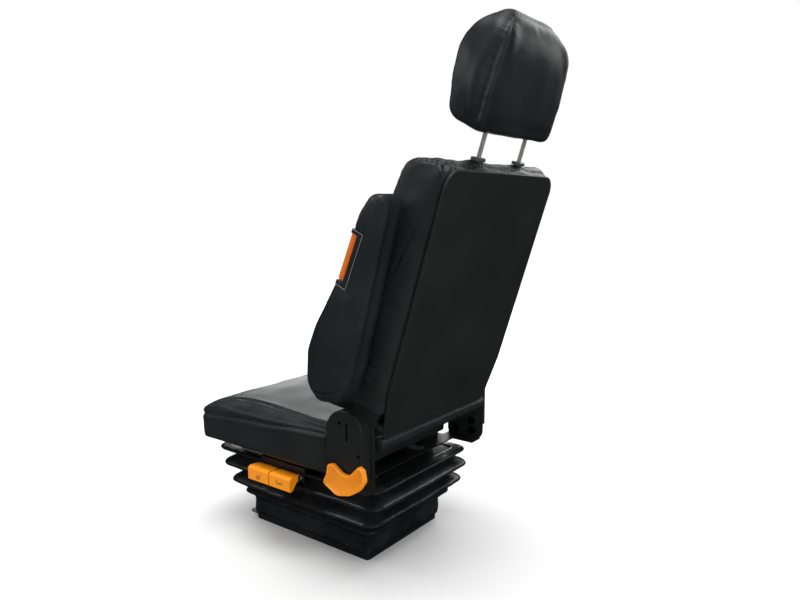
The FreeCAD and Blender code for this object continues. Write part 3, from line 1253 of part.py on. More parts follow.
def armrest_bezel():
    outer = ARM_WIDTH / 2 - WHEEL_ASIDE - CHEEK_INSET
    tray, cheek = bezel_blocks(BEZEL_PROUD, outer, 0.0)
    tray = softened(tray, 2.0, lambda e: e.BoundBox.YMax < 0.1 - BEZEL_PROUD)
    room = WHEEL_R + WHEEL_ROOM
    half = WHEEL_LENGTH / 2
    pocket = box(-room, room, -10, CHEEK_REAR + 1, -half - WHEEL_ROOM, half + WHEEL_ROOM)
    bezel = fused([tray, cheek]).cut(pocket).cut(wheel_window(outer + 1))
    end = half + BEZEL_MARGIN
    pin = rod((0, WHEEL_SINK, -end), (0, WHEEL_SINK, end), 2.0 + RUNNING_FIT)
    return wheel_frame(fused([bezel.cut(pin)]))


def armrest_wheel():
    half = WHEEL_LENGTH / 2
    drum = rod((0, WHEEL_SINK, -half), (0, WHEEL_SINK, half), WHEEL_R)
    axle = rod((0, WHEEL_SINK, -half - 5.5), (0, WHEEL_SINK, half + 5.5), 2.0)
    wheel = fused([drum, axle])
    for k in range(24):
        angle = 2 * math.pi * k / 24
        x = (WHEEL_R + 0.5) * math.sin(angle)
        y = WHEEL_SINK + (WHEEL_R + 0.5) * math.cos(angle)
        wheel = wheel.cut(rod((x, y, -half - 1), (x, y, half + 1), 1.3))
    return wheel_frame(wheel)


def arm_bracket():
    """The steel boss on the backrest tube that carries the armrest."""
    x0 = BACK_TUBE_HALF + BACK_TUBE_R
    end = ARM_INNER_X - 4.0
    rear = -BACK_TUBE_D + 6
    plate = plate_x(
        [
            (rear, ARM_W - 30, 6), (rear, ARM_W + 30, 6),
            (-ARM_D - 20, ARM_W + 20, 14), (-ARM_D - 20, ARM_W - 20, 14),
        ],
        x0, x0 + 5,
    )
    boss = rod((x0, -ARM_D, ARM_W), (end, -ARM_D, ARM_W), ARM_BOSS_R)
    collar_r = ARM_BOSS_R + 3
    full = collar_r - 0.1
    collar = plate_x(
        [
            (-ARM_D - collar_r, ARM_W - collar_r, full), (-ARM_D + 52, ARM_W - collar_r, full),
            (-ARM_D + 52, ARM_W + collar_r, full), (-ARM_D - collar_r, ARM_W + collar_r, full),
        ],
        BACK_HALF_WIDTH + CLEAR, end,
    )
    bracket = fused([plate, boss, collar])
    return leaned(bracket.cut(rod((x0 - 1, -ARM_D, ARM_W), (end + 1, -ARM_D, ARM_W), ARM_BOLT_R)))


def arm_bolt():
    start = BACK_TUBE_HALF + BACK_TUBE_R + 1
    end = ARM_INNER_X + ARM_WIDTH / 2 + ARM_CORE_THICK / 2
    head_end = end + ARM_HEAD_HEIGHT
    pivot = (ARM_PIVOT_Y, ARM_PIVOT_Z)
    shank = rod((start,) + pivot, (head_end,) + pivot, ARM_BOLT_R)
    head = rod((end + CLEAR,) + pivot, (head_end,) + pivot, ARM_BOLT_R + 4)
    return fused([shank, head])


def paddle_rod(y0, y1, radius):
    return rod((PADDLE_PIN_X, y0, PADDLE_PIN_Z), (PADDLE_PIN_X, y1, PADDLE_PIN_Z), radius)


def paddle_span(index):
    y0 = PADDLE_FRONT_Y + index * (PADDLE_LENGTH + PADDLE_GAP)
    return y0, y0 + PADDLE_LENGTH


def paddle(index):
    """A wedge-shaped pull handle, hollow beneath for the fingers."""
    y0, y1 = paddle_span(index)
    top = PADDLE_TOP_Z
    face = PADDLE_FACE_X
    foot = top - PADDLE_HEIGHT
    body = plate_y(
        [
            (PADDLE_PIN_X - 7, top - 3, 3), (face - 8, top + 1, 5), (face, top - 4, 4),
            (face, foot, 3), (face - 6, foot, 2.5), (face - 9, top - 14, 6),
            (PADDLE_PIN_X + 8, top - 15, 5), (PADDLE_PIN_X - 7, top - 15, 5),
        ],
        y0, y1,
    )
    cheek = plate_y(
        [
            (PADDLE_PIN_X + 6, top - 8, 3), (face - 3, top - 8, 3),
            (face - 3, foot + 2, 2), (face - 10, foot + 2, 3),
        ],
        0, 3,
    )
    for y in (y0, y1 - 3):
        side = cheek.copy()
        side.translate(V(0, y, 0))
        body = body.fuse(side)
    return fused([body]).cut(paddle_rod(y0 - 1, y1 + 1, PADDLE_PIN_R + RUNNING_FIT))


def paddle_bracket():
    """A folded plate under the seat frame's edge, with three ears for the paddle pin."""
    x0 = PADDLE_PLATE_X
    x1 = PADDLE_PLATE_X + PADDLE_PLATE_THICK
    y0 = PADDLE_FRONT_Y - PADDLE_GAP + 0.5
    y1 = paddle_span(1)[1] + PADDLE_GAP - 0.5
    wall = box(x0, x1, y0, y1, PADDLE_TOP_Z - 24, TRACK_TOP)
    shelf = box(FRAME_HALF_WIDTH - 25, x1, y0, y1, TRACK_TOP - PADDLE_PLATE_THICK, TRACK_TOP)
    shapes = [wall, shelf]
    ear_width = PADDLE_GAP - 1.0
    middle = paddle_span(0)[1] + 0.5
    for y in (y0, middle, y1 - ear_width):
        shapes.append(box(x1 - 1, PADDLE_PIN_X + 7, y, y + ear_width, PADDLE_PIN_Z - 7, PADDLE_PIN_Z + 6))
    bracket = fused(shapes)
    return bracket.cut(paddle_rod(y0 - 1, y1 + 1, PADDLE_PIN_R))


def paddle_pin():
    y0 = PADDLE_FRONT_Y - PADDLE_GAP
    y1 = paddle_span(1)[1] + PADDLE_GAP
    return paddle_rod(y0, y1, PADDLE_PIN_R)


def release_bar():
    """The bent bar under the front edge that frees the fore and aft slide."""
    x = RELEASE_BAR_X
    z = RELEASE_BAR_Z
    rear = (RELEASE_BAR_PIVOT_Y, z)
    front = (RELEASE_BAR_FRONT_Y, z)
    path = [(-x,) + rear, (-x,) + front, (x,) + front, (x,) + rear]
    shapes = [bent_tube(path, RELEASE_BAR_BEND, RELEASE_BAR_R)]
    for side in (-1, 1):
        shapes.append(rod((side * x - 3,) + rear, (side * x + 3,) + rear, RELEASE_BAR_R + 0.8))
    bar = fused(shapes)
    for side in (-1, 1):
        bar = bar.cut(rod((side * x - 6,) + rear, (side * x + 6,) + rear, RELEASE_PIN_R + RUNNING_FIT))
    return fused([bar])


def release_pins():
    start = RELEASE_BAR_X - 5
    end = RELEASE_BAR_X + RELEASE_BAR_R + 5 + FRAME_SHEET + 1
    pivot = (RELEASE_BAR_PIVOT_Y, RELEASE_BAR_Z)
    pin = rod((start,) + pivot, (end,) + pivot, RELEASE_PIN_R)
    return Part.makeCompound([pin, mirrored(pin)])


def build():
    keep("base_tray", base_tray())
    keep("lower_pivot_pins", pivot_pins(OUTER_ARM_X, LOWER_PIVOT_Z))
    keep("damper_tube", damper_tube())
    pair("bump_stop", bump_stop())
    pair("suspension_spring", coil_spring())
    keep("suspension_bellows", bellows())
    keep("outer_scissor_frame", scissor_frame(OUTER_ARM_X, LOWER_PIVOT_Z, UPPER_PIVOT_Z, CENTRE_BOLT_R))
    keep("scissor_centre_bolts", centre_bolts())
    inner_hole = CENTRE_BOLT_R + CENTRE_PLAY
    keep("inner_scissor_frame", scissor_frame(INNER_ARM_X, UPPER_PIVOT_Z, LOWER_PIVOT_Z, inner_hole))
    keep("lower_roller_axle", roller_axle(LOWER_PIVOT_Z))
    pair("lower_roller", roller(LOWER_PIVOT_Z))
    keep("upper_roller_axle", roller_axle(UPPER_PIVOT_Z))
    pair("upper_roller", roller(UPPER_PIVOT_Z))
    keep("suspension_housing", housing())
    keep("upper_pivot_pins", pivot_pins(INNER_ARM_X, UPPER_PIVOT_Z))
    keep("damper_rod", damper_rod())
    pair("lower_slide_track", lower_track())
    pair("upper_slide_track", upper_track())
    keep("seat_frame", seat_frame())
    keep("slide_release_bar", release_bar())
    keep("release_bar_pins", release_pins())
    pair("recliner_bracket", recliner_bracket())
    keep("bracket_bolts", bracket_bolts())
    pair("recliner_cover", recliner_cover())
    keep("cover_screws", cover_screws())
    keep("recliner_shaft", recliner_shaft())
    keep("recliner_lever", recliner_lever())
    keep("tilt_frame", tilt_frame())
    keep("tilt_pins", tilt_pins())
    keep("depth_guides", depth_guides())
    keep("cushion_pan", cushion_pan())
    keep("seat_cushion", seat_cushion())
    keep("paddle_bracket", paddle_bracket())
    keep("paddle_pin", paddle_pin())
    keep("cushion_depth_paddle", paddle(0))
    keep("cushion_tilt_paddle", paddle(1))
    keep("backrest_frame", backrest_frame())
    pair("backrest_hinge_plate", hinge_plate())
    keep("backrest_foam", backrest_foam())
    keep("backrest_rear_panel", rear_panel())
    keep("backrest_lower_roll", lower_roll())
    keep("headrest_guide_left", headrest_guide(POST_HALF_SPACING))
    keep("headrest_guide_right", headrest_guide(-POST_HALF_SPACING))
    keep("headrest_posts", leaned(headrest_posts(POST_R)))
    keep("headrest_pad", headrest_pad())
    keep("armrest_bracket", arm_bracket())
    keep("armrest_bolt", arm_bolt())
    keep("armrest_core", arm_core())
    keep("armrest_pad", armrest_pad())
    keep("armrest_bezel", armrest_bezel())
    keep("armrest_wheel", armrest_wheel())


build()
os.makedirs("parts", exist_ok=True)
for name, shape in PARTS.items():
    shape.exportStep("parts/" + name + ".step")
    state = "ok" if shape.isValid() else "INVALID"
    print(name, len(shape.Solids), round(shape.Volume), state)
print(len(PARTS), "nodes")
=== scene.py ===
import bpy
import bmesh
import math
import numpy as np
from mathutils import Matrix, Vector, noise
from mathutils.bvhtree import BVHTree
from mathutils.kdtree import KDTree


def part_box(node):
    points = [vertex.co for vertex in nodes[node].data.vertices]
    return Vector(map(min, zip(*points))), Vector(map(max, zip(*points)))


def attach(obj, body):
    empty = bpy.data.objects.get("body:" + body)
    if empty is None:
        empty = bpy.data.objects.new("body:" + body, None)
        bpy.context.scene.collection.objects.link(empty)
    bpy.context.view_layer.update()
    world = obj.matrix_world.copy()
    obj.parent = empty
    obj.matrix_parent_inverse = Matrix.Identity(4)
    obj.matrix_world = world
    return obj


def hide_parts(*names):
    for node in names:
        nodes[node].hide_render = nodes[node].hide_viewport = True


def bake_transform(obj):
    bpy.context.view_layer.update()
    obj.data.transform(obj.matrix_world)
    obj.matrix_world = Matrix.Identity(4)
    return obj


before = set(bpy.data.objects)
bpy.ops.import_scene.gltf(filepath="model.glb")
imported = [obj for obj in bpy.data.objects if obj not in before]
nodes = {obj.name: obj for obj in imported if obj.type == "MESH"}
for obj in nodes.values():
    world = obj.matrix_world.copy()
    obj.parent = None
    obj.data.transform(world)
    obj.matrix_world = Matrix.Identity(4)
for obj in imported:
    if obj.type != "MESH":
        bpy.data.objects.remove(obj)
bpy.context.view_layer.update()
scene = bpy.context.scene
MM = 0.001


# Camera at the photograph's viewing angle, with its place and turn solved from the photograph
CAMERA_PLACE = (1.3687, 1.2120, 0.8594)
CAMERA_YAW = math.radians(53.17)
CAMERA_PITCH = math.radians(7.67)
CAMERA_LENS = 30.84
SENSOR_WIDTH = 36.0


def add_camera():
    level = math.cos(CAMERA_PITCH)
    look = Vector((-math.sin(CAMERA_YAW) * level, -math.cos(CAMERA_YAW) * level, -math.sin(CAMERA_PITCH)))
    camera = bpy.data.objects.new("camera", bpy.data.cameras.new("camera"))
    camera.location = CAMERA_PLACE
    camera.rotation_mode = "QUATERNION"
    camera.rotation_quaternion = look.to_track_quat("-Z", "Y")
    camera.data.sensor_width = SENSOR_WIDTH
    camera.data.lens = CAMERA_LENS
    scene.collection.objects.link(camera)
    scene.camera = camera


add_camera()


# The backrest's leaned frame, as in the CAD: d forward from the rear panel, w up along it
LEAN = math.radians(17.4)
FOOT = Vector((0.0, 0.304, 0.349))

# The headrest posts' places on the backrest's top, in millimetres
POST_X = 91
POST_D = 33

# The thumbwheel's own frame in the armrest, leaned with the armrest's rear edge
WHEEL_LEAN = math.radians(22.9)
WHEEL_SPOT = Vector((0.312, 0.2963, 0.7628))

# Cloth that swells the soft covers
CLOTH_STEPS = 20
CLOTH_QUALITY = 4
CLOTH_PRESSURE = 4.0


def leaned(x, d, w):
    """A point of the backrest in millimetres, to the seat's frame in metres."""
    return Vector((
        x * MM,
        FOOT.y + (-d * math.cos(LEAN) + w * math.sin(LEAN)) * MM,
        FOOT.z + (d * math.sin(LEAN) + w * math.cos(LEAN)) * MM,
    ))


def unleaned(co):
    """Seat frame coordinates in metres to x, d, w in millimetres, as an array."""
    y = co[:, 1] - FOOT.y
    z = co[:, 2] - FOOT.z
    d = -(y * math.cos(LEAN) - z * math.sin(LEAN))
    w = y * math.sin(LEAN) + z * math.cos(LEAN)
    return np.stack([co[:, 0], d, w], 1) / MM


# Mesh helpers
JOIN_DISTANCE = 1e-5


def new_object(name, mesh):
    ob = bpy.data.objects.new(name, mesh)
    scene.collection.objects.link(ob)
    return ob


def from_bmesh(name, bm):
    mesh = bpy.data.meshes.new(name)
    bm.to_mesh(mesh)
    bm.free()
    return new_object(name, mesh)


def clone(node, name):
    """A copy of a CAD node's mesh with its split corners joined."""
    bm = bmesh.new()
    bm.from_mesh(nodes[node].data)
    bmesh.ops.remove_doubles(bm, verts=bm.verts, dist=JOIN_DISTANCE)
    ob = from_bmesh(name, bm)
    ob.data.materials.clear()
    return ob


def applied(ob):
    """Write the modifiers' result into the mesh."""
    graph = bpy.context.evaluated_depsgraph_get()
    mesh = bpy.data.meshes.new_from_object(ob.evaluated_get(graph))
    old = ob.data
    ob.modifiers.clear()
    ob.data = mesh
    mesh.name = ob.name
    bpy.data.meshes.remove(old)
    return ob


def coords(ob):
    co = np.zeros(len(ob.data.vertices) * 3, np.float32)
    ob.data.vertices.foreach_get("co", co)
    return co.reshape(-1, 3).astype(float)


def set_coords(ob, co):
    ob.data.vertices.foreach_set("co", co.astype(np.float32).ravel())
    ob.data.update()


def normals(ob):
    n = np.zeros(len(ob.data.vertices) * 3, np.float32)
    ob.data.vertices.foreach_get("normal", n)
    return n.reshape(-1, 3).astype(float)


def remesh(ob, size):
    modifier = ob.modifiers.new("remesh", "REMESH")
    modifier.mode = "VOXEL"
    modifier.voxel_size = size
    return applied(ob)


def smoothed(ob, factor, times):
    modifier = ob.modifiers.new("smooth", "SMOOTH")
    modifier.factor = factor
    modifier.iterations = times
    return applied(ob)


def subdivided(ob, levels=1):
    modifier = ob.modifiers.new("subdivide", "SUBSURF")
    modifier.levels = levels
    modifier.render_levels = levels
    return applied(ob)


def thinned(ob, share):
    """The same form with fewer triangles."""
    modifier = ob.modifiers.new("thin", "DECIMATE")
    modifier.ratio = share
    return applied(ob)


def circle(bm, centre, across, up, radius, sides):
    """New points on a circle that across and up span."""
    turns = [2 * math.pi * k / sides for k in range(sides)]
    return [bm.verts.new(centre + (across * math.cos(a) + up * math.sin(a)) * radius) for a in turns]


def skin(bm, low, high):
    """A closed band of faces between two rings with as many points."""
    count = len(low)
    for k in range(count):
        bm.faces.new((low[k], low[(k + 1) % count], high[(k + 1) % count], high[k]))


def shade_smooth(ob):
    ob.data.polygons.foreach_set("use_smooth", [True] * len(ob.data.polygons))
    ob.data.update()


def shrunk(ob, distance):
    set_coords(ob, coords(ob) - normals(ob) * distance)


def inflated(ob, cap, keep):
    """Swell a closed mesh with cloth pressure, cap how far each point may move and hold what keep marks."""
    start = coords(ob)
    cloth = ob.modifiers.new("cloth", "CLOTH")
    cloth.settings.quality = CLOTH_QUALITY
    cloth.settings.use_pressure = True
    cloth.settings.uniform_pressure_force = CLOTH_PRESSURE
    cloth.settings.effector_weights.gravity = 0.0
    cloth.point_cache.frame_start = 1
    cloth.point_cache.frame_end = CLOTH_STEPS
    for step in range(1, CLOTH_STEPS + 1):
        scene.frame_set(step)
    graph = bpy.context.evaluated_depsgraph_get()
    shown = ob.evaluated_get(graph)
    moved = np.zeros(len(start) * 3, np.float32)
    shown.data.vertices.foreach_get("co", moved)
    moved = moved.reshape(-1, 3).astype(float)
    ob.modifiers.clear()
    scene.frame_set(1)
    n = normals(ob)
    out = np.clip(((moved - start) * n).sum(1), 0.0, cap) * (1.0 - keep(start))
    out = spread(ob, out, 10)
    set_coords(ob, start + n * out[:, None])


def spread(ob, field, times):
    """Even out a value over neighbouring points."""
    ends = np.zeros(len(ob.data.edges) * 2, np.int32)
    ob.data.edges.foreach_get("vertices", ends)
    a, b = ends.reshape(-1, 2).T
    count = np.bincount(a, minlength=len(field)) + np.bincount(b, minlength=len(field))
    for _ in range(times):
        total = np.bincount(a, field[b], len(field)) + np.bincount(b, field[a], len(field))
        field = 0.5 * field + 0.5 * total / np.maximum(count, 1)
    return field


def curve_points(points, gap):
    """A smooth line through the points as samples a gap apart, and each sample's distance along it."""
    p = [Vector(q) for q in points]
    ends = [p[0] * 2 - p[1]] + p + [p[-1] * 2 - p[-2]]
    rough = []
    steps = 24
    for i in range(1, len(ends) - 2):
        a, b, c, d = ends[i - 1:i + 3]
        for k in range(steps):
            t = k / steps
            bend = (2 * a - 5 * b + 4 * c - d) * t * t + (3 * b - a - 3 * c + d) * t ** 3
            rough.append(0.5 * (2 * b + (c - a) * t + bend))
    rough.append(p[-1])
    line = np.array(rough)
    lengths = np.concatenate([[0], np.cumsum(np.linalg.norm(np.diff(line, axis=0), axis=1))])
    count = max(4, int(lengths[-1] / gap))
    at = np.linspace(0, lengths[-1], count)
    return np.stack([np.interp(at, lengths, line[:, k]) for k in range(3)], 1), at


def on_surface(ob, line):
    """The nearest points of the surface and their normals."""
    tree = BVHTree.FromPolygons([v.co for v in ob.data.vertices], [p.vertices for p in ob.data.polygons])
    places, ways = [], []
    for q in line:
        spot, way, _, _ = tree.find_nearest(Vector(q))
        places.append(spot)
        ways.append(way)
    return np.array(places), np.array(ways)


OUT_OF_REACH = 1e9
BATCH = 4000


def nearest_on_line(co, line, reach):
    """Distance to the line and the index of the nearest sample, for points within reach."""
    low = line.min(0) - reach
    high = line.max(0) + reach
    near = np.where(((co > low) & (co < high)).all(1))[0]
    distance = np.full(len(co), OUT_OF_REACH)
    index = np.zeros(len(co), int)
    for start in range(0, len(near), BATCH):
        part = near[start:start + BATCH]
        gaps = np.linalg.norm(co[part][:, None, :] - line[None, :, :], axis=2)
        index[part] = gaps.argmin(1)
        distance[part] = gaps.min(1)
    return distance, index


def seam(ob, points, depth, width, pucker, pitch, swell):
    """Press a sewn line into the surface, with puckers along it and a soft swell beside it."""
    line, at = curve_points(points, 0.002)
    line, _ = on_surface(ob, line)
    co, n = coords(ob), normals(ob)
    distance, index = nearest_on_line(co, line, width * 5)
    ends = np.minimum(at[index], at[-1] - at[index]) / (2 * width)
    fade = np.clip(ends, 0.25, 1.0)
    wave = 1.0 + pucker * np.sin(2 * math.pi * at[index] / pitch)
    dip = depth * np.exp(-(distance / width) ** 2) * wave * fade
    rise = swell * np.exp(-((distance - 2.2 * width) / (1.3 * width)) ** 2) * fade
    rise *= 1.0 + 0.6 * pucker * np.sin(2 * math.pi * at[index] / (pitch * 1.7) + 1.0)
    set_coords(ob, co + n * (rise - dip)[:, None])


STITCH_PITCH = 0.0062
STITCH_LENGTH = 0.0042
THREAD_RADIUS = 0.0006
STITCH_SIDES = 5

# Along a stitch: share of its length and height in thread radii, so that both ends dive into the cover
STITCH_ARCH = ((-0.5, -0.9), (-0.3, 0.45), (0.0, 0.7), (0.3, 0.45), (0.5, -0.9))


def stitches(ob, points, body, offset, name):
    """A row of sewn stitches lying on the surface beside a line."""
    line, at = curve_points(points, 0.0006)
    line, n = on_surface(ob, line)
    along = np.gradient(line, axis=0)
    along /= np.linalg.norm(along, axis=1, keepdims=True) + 1e-12
    side = np.cross(along, n)
    line, n = on_surface(ob, line + side * offset)
    bm = bmesh.new()
    total = at[-1]
    position = STITCH_PITCH
    while position < total - STITCH_PITCH:
        i = min(int(position / total * (len(line) - 1)), len(line) - 2)
        a = Vector(line[i])
        way = Vector(along[i]).normalized()
        up = Vector(n[i]).normalized()
        across = way.cross(up).normalized()
        rings = []
        for share, lift in STITCH_ARCH:
            centre = a + way * (share * STITCH_LENGTH) + up * (lift * THREAD_RADIUS)
            rings.append(circle(bm, centre, across, up, THREAD_RADIUS, STITCH_SIDES))
        for near, far in zip(rings, rings[1:]):
            skin(bm, near, far)
        bm.faces.new(rings[0][::-1])
        bm.faces.new(rings[-1])
        position += STITCH_PITCH
    bmesh.ops.recalc_face_normals(bm, faces=bm.faces)
    row = from_bmesh(name, bm)
    shade_smooth(row)
    dress(row, thread)
    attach(row, body)


def ruffled(ob, height, scale, seed, where=None):
    """Slow unevenness of a soft surface, stronger or weaker by place if where says so."""
    co, n = coords(ob), normals(ob)
    lift = np.array([noise.noise(Vector(c) * scale + Vector((seed, seed * 2.0, 0))) for c in co]) * height
    if where is not None:
        lift = lift * where(co)
    set_coords(ob, co + n * lift[:, None])


# Materials
def nodes_of(name):
    made = bpy.data.materials.new(name)
    made.use_nodes = True
    tree = made.node_tree
    return made, tree, tree.nodes["Principled BSDF"]


def add(tree, kind, **values):
    node = tree.nodes.new(kind)
    for key, value in values.items():
        node.inputs[key].default_value = value
    return node


def object_space(tree, scale=(1, 1, 1)):
    place = add(tree, "ShaderNodeTexCoord")
    mapping = add(tree, "ShaderNodeMapping")
    mapping.inputs["Scale"].default_value = scale
    tree.links.new(place.outputs["Object"], mapping.inputs["Vector"])
    return mapping.outputs["Vector"]


def noise_node(tree, vector, scale, detail=4.0, roughness=0.5):
    node = add(tree, "ShaderNodeTexNoise", Scale=scale, Detail=detail, Roughness=roughness)
    tree.links.new(vector, node.inputs["Vector"])
    return node.outputs["Fac"]


def ranged(tree, value, low, high, out_low, out_high):
    node = add(tree, "ShaderNodeMapRange")
    for key, number in zip(("From Min", "From Max", "To Min", "To Max"), (low, high, out_low, out_high)):
        node.inputs[key].default_value = number
    tree.links.new(value, node.inputs["Value"])
    return node.outputs["Result"]


def two_colours(tree, value, first, second, low=0.35, high=0.65):
    ramp = add(tree, "ShaderNodeValToRGB")
    ramp.color_ramp.elements[0].position = low
    ramp.color_ramp.elements[1].position = high
    ramp.color_ramp.elements[0].color = (*first, 1)
    ramp.color_ramp.elements[1].color = (*second, 1)
    tree.links.new(value, ramp.inputs["Fac"])
    return ramp.outputs["Color"]


def bumped(tree, height, strength, distance, normal=None):
    node = add(tree, "ShaderNodeBump", Strength=strength, Distance=distance)
    tree.links.new(height, node.inputs["Height"])
    if normal is not None:
        tree.links.new(normal, node.inputs["Normal"])
    return node.outputs["Normal"]


def vinyl_material(name, dark, light, rough_low, rough_high, grain=0.35, pores=1000.0):
    """Grained upholstery vinyl: fine leather cells, slow tone changes and small creases."""
    made, tree, shader = nodes_of(name)
    space = object_space(tree)
    slow = noise_node(tree, space, 7.0, 3.0)
    fine = noise_node(tree, space, 160.0, 5.0, 0.6)
    cells = add(tree, "ShaderNodeTexVoronoi", Scale=pores)
    cells.feature = "DISTANCE_TO_EDGE"
    tree.links.new(space, cells.inputs["Vector"])
    edge = ranged(tree, cells.outputs["Distance"], 0.0, 0.22, 0.0, 1.0)
    tree.links.new(two_colours(tree, slow, dark, light), shader.inputs["Base Color"])
    tree.links.new(ranged(tree, slow, 0.3, 0.7, rough_low, rough_high), shader.inputs["Roughness"])
    first = bumped(tree, slow, 0.25, 0.004)
    second = bumped(tree, fine, 0.22, 0.0006, first)
    tree.links.new(bumped(tree, edge, grain, 0.00022, second), shader.inputs["Normal"])
    shader.inputs["Specular IOR Level"].default_value = 0.45
    return made


def plastic_material(name, dark, light, rough, texture, depth, coat=0.0):
    """Moulded plastic with a spark-eroded texture."""
    made, tree, shader = nodes_of(name)
    space = object_space(tree)
    slow = noise_node(tree, space, 5.0, 2.0)
    fine = noise_node(tree, space, texture, 3.0, 0.7)
    tree.links.new(two_colours(tree, slow, dark, light), shader.inputs["Base Color"])
    tree.links.new(ranged(tree, fine, 0.3, 0.7, rough - 0.05, rough + 0.06), shader.inputs["Roughness"])
    tree.links.new(bumped(tree, fine, 0.35, depth), shader.inputs["Normal"])
    shader.inputs["Coat Weight"].default_value = coat
    shader.inputs["Coat Roughness"].default_value = 0.12
    return made


def metal_material(name, dark, light, rough, metallic, stretch=(1, 1, 1), grain=500.0, depth=0.00005):
    made, tree, shader = nodes_of(name)
    space = object_space(tree, stretch)
    slow = noise_node(tree, space, 9.0, 3.0)
    fine = noise_node(tree, space, grain, 4.0)
    tree.links.new(two_colours(tree, slow, dark, light), shader.inputs["Base Color"])
    tree.links.new(ranged(tree, fine, 0.3, 0.7, rough - 0.06, rough + 0.08), shader.inputs["Roughness"])
    tree.links.new(bumped(tree, fine, 0.3, depth), shader.inputs["Normal"])
    shader.inputs["Metallic"].default_value = metallic
    return made


def rubber_material(name):
    """Glossy moulded rubber with a little dust and fine creases."""
    made, tree, shader = nodes_of(name)
    space = object_space(tree)
    slow = noise_node(tree, space, 11.0, 4.0, 0.55)
    creases = noise_node(tree, object_space(tree, (1, 1, 2.6)), 46.0, 5.0, 0.6)
    fine = noise_node(tree, space, 420.0, 3.0)
    tone = two_colours(tree, slow, (0.006, 0.007, 0.008), (0.014, 0.016, 0.017))
    tree.links.new(tone, shader.inputs["Base Color"])
    tree.links.new(ranged(tree, creases, 0.3, 0.7, 0.24, 0.42), shader.inputs["Roughness"])
    first = bumped(tree, creases, 0.32, 0.0022)
    tree.links.new(bumped(tree, fine, 0.2, 0.0002, first), shader.inputs["Normal"])
    shader.inputs["Specular IOR Level"].default_value = 0.5
    return made


# Each vinyl: darkest and lightest colour, roughness range, then grain and pores where they differ
vinyl = vinyl_material("vinyl", (0.0085, 0.0115, 0.012), (0.013, 0.0165, 0.017), 0.40, 0.50)
vinyl_smooth = vinyl_material(
    "vinyl_smooth", (0.008, 0.0095, 0.011), (0.012, 0.0145, 0.016), 0.42, 0.52, grain=0.22, pores=1300.0,
)
vinyl_arm = vinyl_material(
    "vinyl_arm", (0.008, 0.0115, 0.0125), (0.012, 0.0165, 0.0175), 0.36, 0.46, grain=0.25, pores=1100.0,
)

# Each plastic: darkest and lightest colour, roughness, texture scale and depth, then a coat if it is glossy
panel = plastic_material(
    "panel_plastic", (0.0095, 0.0125, 0.0120), (0.0125, 0.016, 0.0152), 0.56, 1500.0, 0.00022,
)
black_plastic = plastic_material(
    "black_plastic", (0.010, 0.0115, 0.012), (0.014, 0.0155, 0.016), 0.46, 1700.0, 0.00015,
)
collar_plastic = plastic_material(
    "collar_plastic", (0.045, 0.05, 0.05), (0.06, 0.065, 0.065), 0.38, 1500.0, 0.0001,
)
orange = plastic_material(
    "orange_plastic", (0.74, 0.235, 0.004), (0.80, 0.27, 0.006), 0.27, 700.0, 0.00004, 0.35,
)
orange_deep = plastic_material(
    "orange_deep", (0.62, 0.125, 0.002), (0.70, 0.155, 0.003), 0.30, 700.0, 0.00004, 0.3,
)
nylon = plastic_material("nylon", (0.62, 0.61, 0.56), (0.72, 0.71, 0.66), 0.4, 600.0, 0.00005)
silver = plastic_material(
    "silver_trim", (0.13, 0.15, 0.155), (0.17, 0.19, 0.195), 0.25, 900.0, 0.00003, 0.3,
)
thread = plastic_material("thread", (0.060, 0.066, 0.068), (0.085, 0.092, 0.095), 0.5, 2600.0, 0.0002)
mark = plastic_material("mark", (0.085, 0.035, 0.006), (0.11, 0.045, 0.008), 0.5, 1200.0, 0.00005)

# Each metal: darkest and lightest colour, roughness, how metallic, then the stretch and scale of its grain
black_steel = metal_material(
    "black_steel", (0.008, 0.009, 0.010), (0.013, 0.014, 0.015), 0.42, 0.0, grain=800.0,
)
zinc = metal_material("zinc", (0.36, 0.36, 0.35), (0.50, 0.50, 0.48), 0.34, 0.7, (1, 1, 6), 260.0)
dark_zinc = metal_material("dark_zinc", (0.035, 0.036, 0.038), (0.055, 0.056, 0.058), 0.34, 1.0)
chrome = metal_material("post_steel", (0.42, 0.41, 0.39), (0.52, 0.51, 0.48), 0.26, 0.62, (1, 1, 8), 200.0)

rubber = rubber_material("rubber")


def dress(ob, made):
    ob.data.materials.clear()
    ob.data.materials.append(made)


def dress_cad():
    groups = {
        panel: ["backrest_rear_panel"],
        black_plastic: ["recliner_cover_left", "recliner_cover_right", "armrest_bezel"],
        collar_plastic: ["headrest_guide_left", "headrest_guide_right"],
        nylon: [
            "depth_guides",
            "upper_roller_left", "upper_roller_right", "lower_roller_left", "lower_roller_right",
        ],
        orange: ["cushion_depth_paddle", "cushion_tilt_paddle"],
        orange_deep: ["armrest_wheel"],
        rubber: ["bump_stop_left", "bump_stop_right"],
        chrome: ["headrest_posts", "damper_rod"],
        zinc: [
            "lower_pivot_pins", "upper_pivot_pins", "scissor_centre_bolts",
            "upper_roller_axle", "lower_roller_axle",
            "lower_slide_track_left", "lower_slide_track_right",
            "upper_slide_track_left", "upper_slide_track_right",
            "release_bar_pins", "paddle_pin", "tilt_pins", "armrest_bolt",
        ],
        dark_zinc: ["bracket_bolts", "cover_screws"],
        black_steel: [
            "base_tray", "suspension_housing", "outer_scissor_frame", "inner_scissor_frame", "damper_tube",
            "seat_frame", "slide_release_bar", "tilt_frame", "cushion_pan", "paddle_bracket",
            "recliner_bracket_left", "recliner_bracket_right", "recliner_shaft",
            "backrest_frame", "backrest_hinge_plate_left", "backrest_hinge_plate_right",
            "armrest_bracket", "armrest_core",
        ],
    }
    for made, names in groups.items():
        for name in names:
            dress(nodes[name], made)


dress_cad()


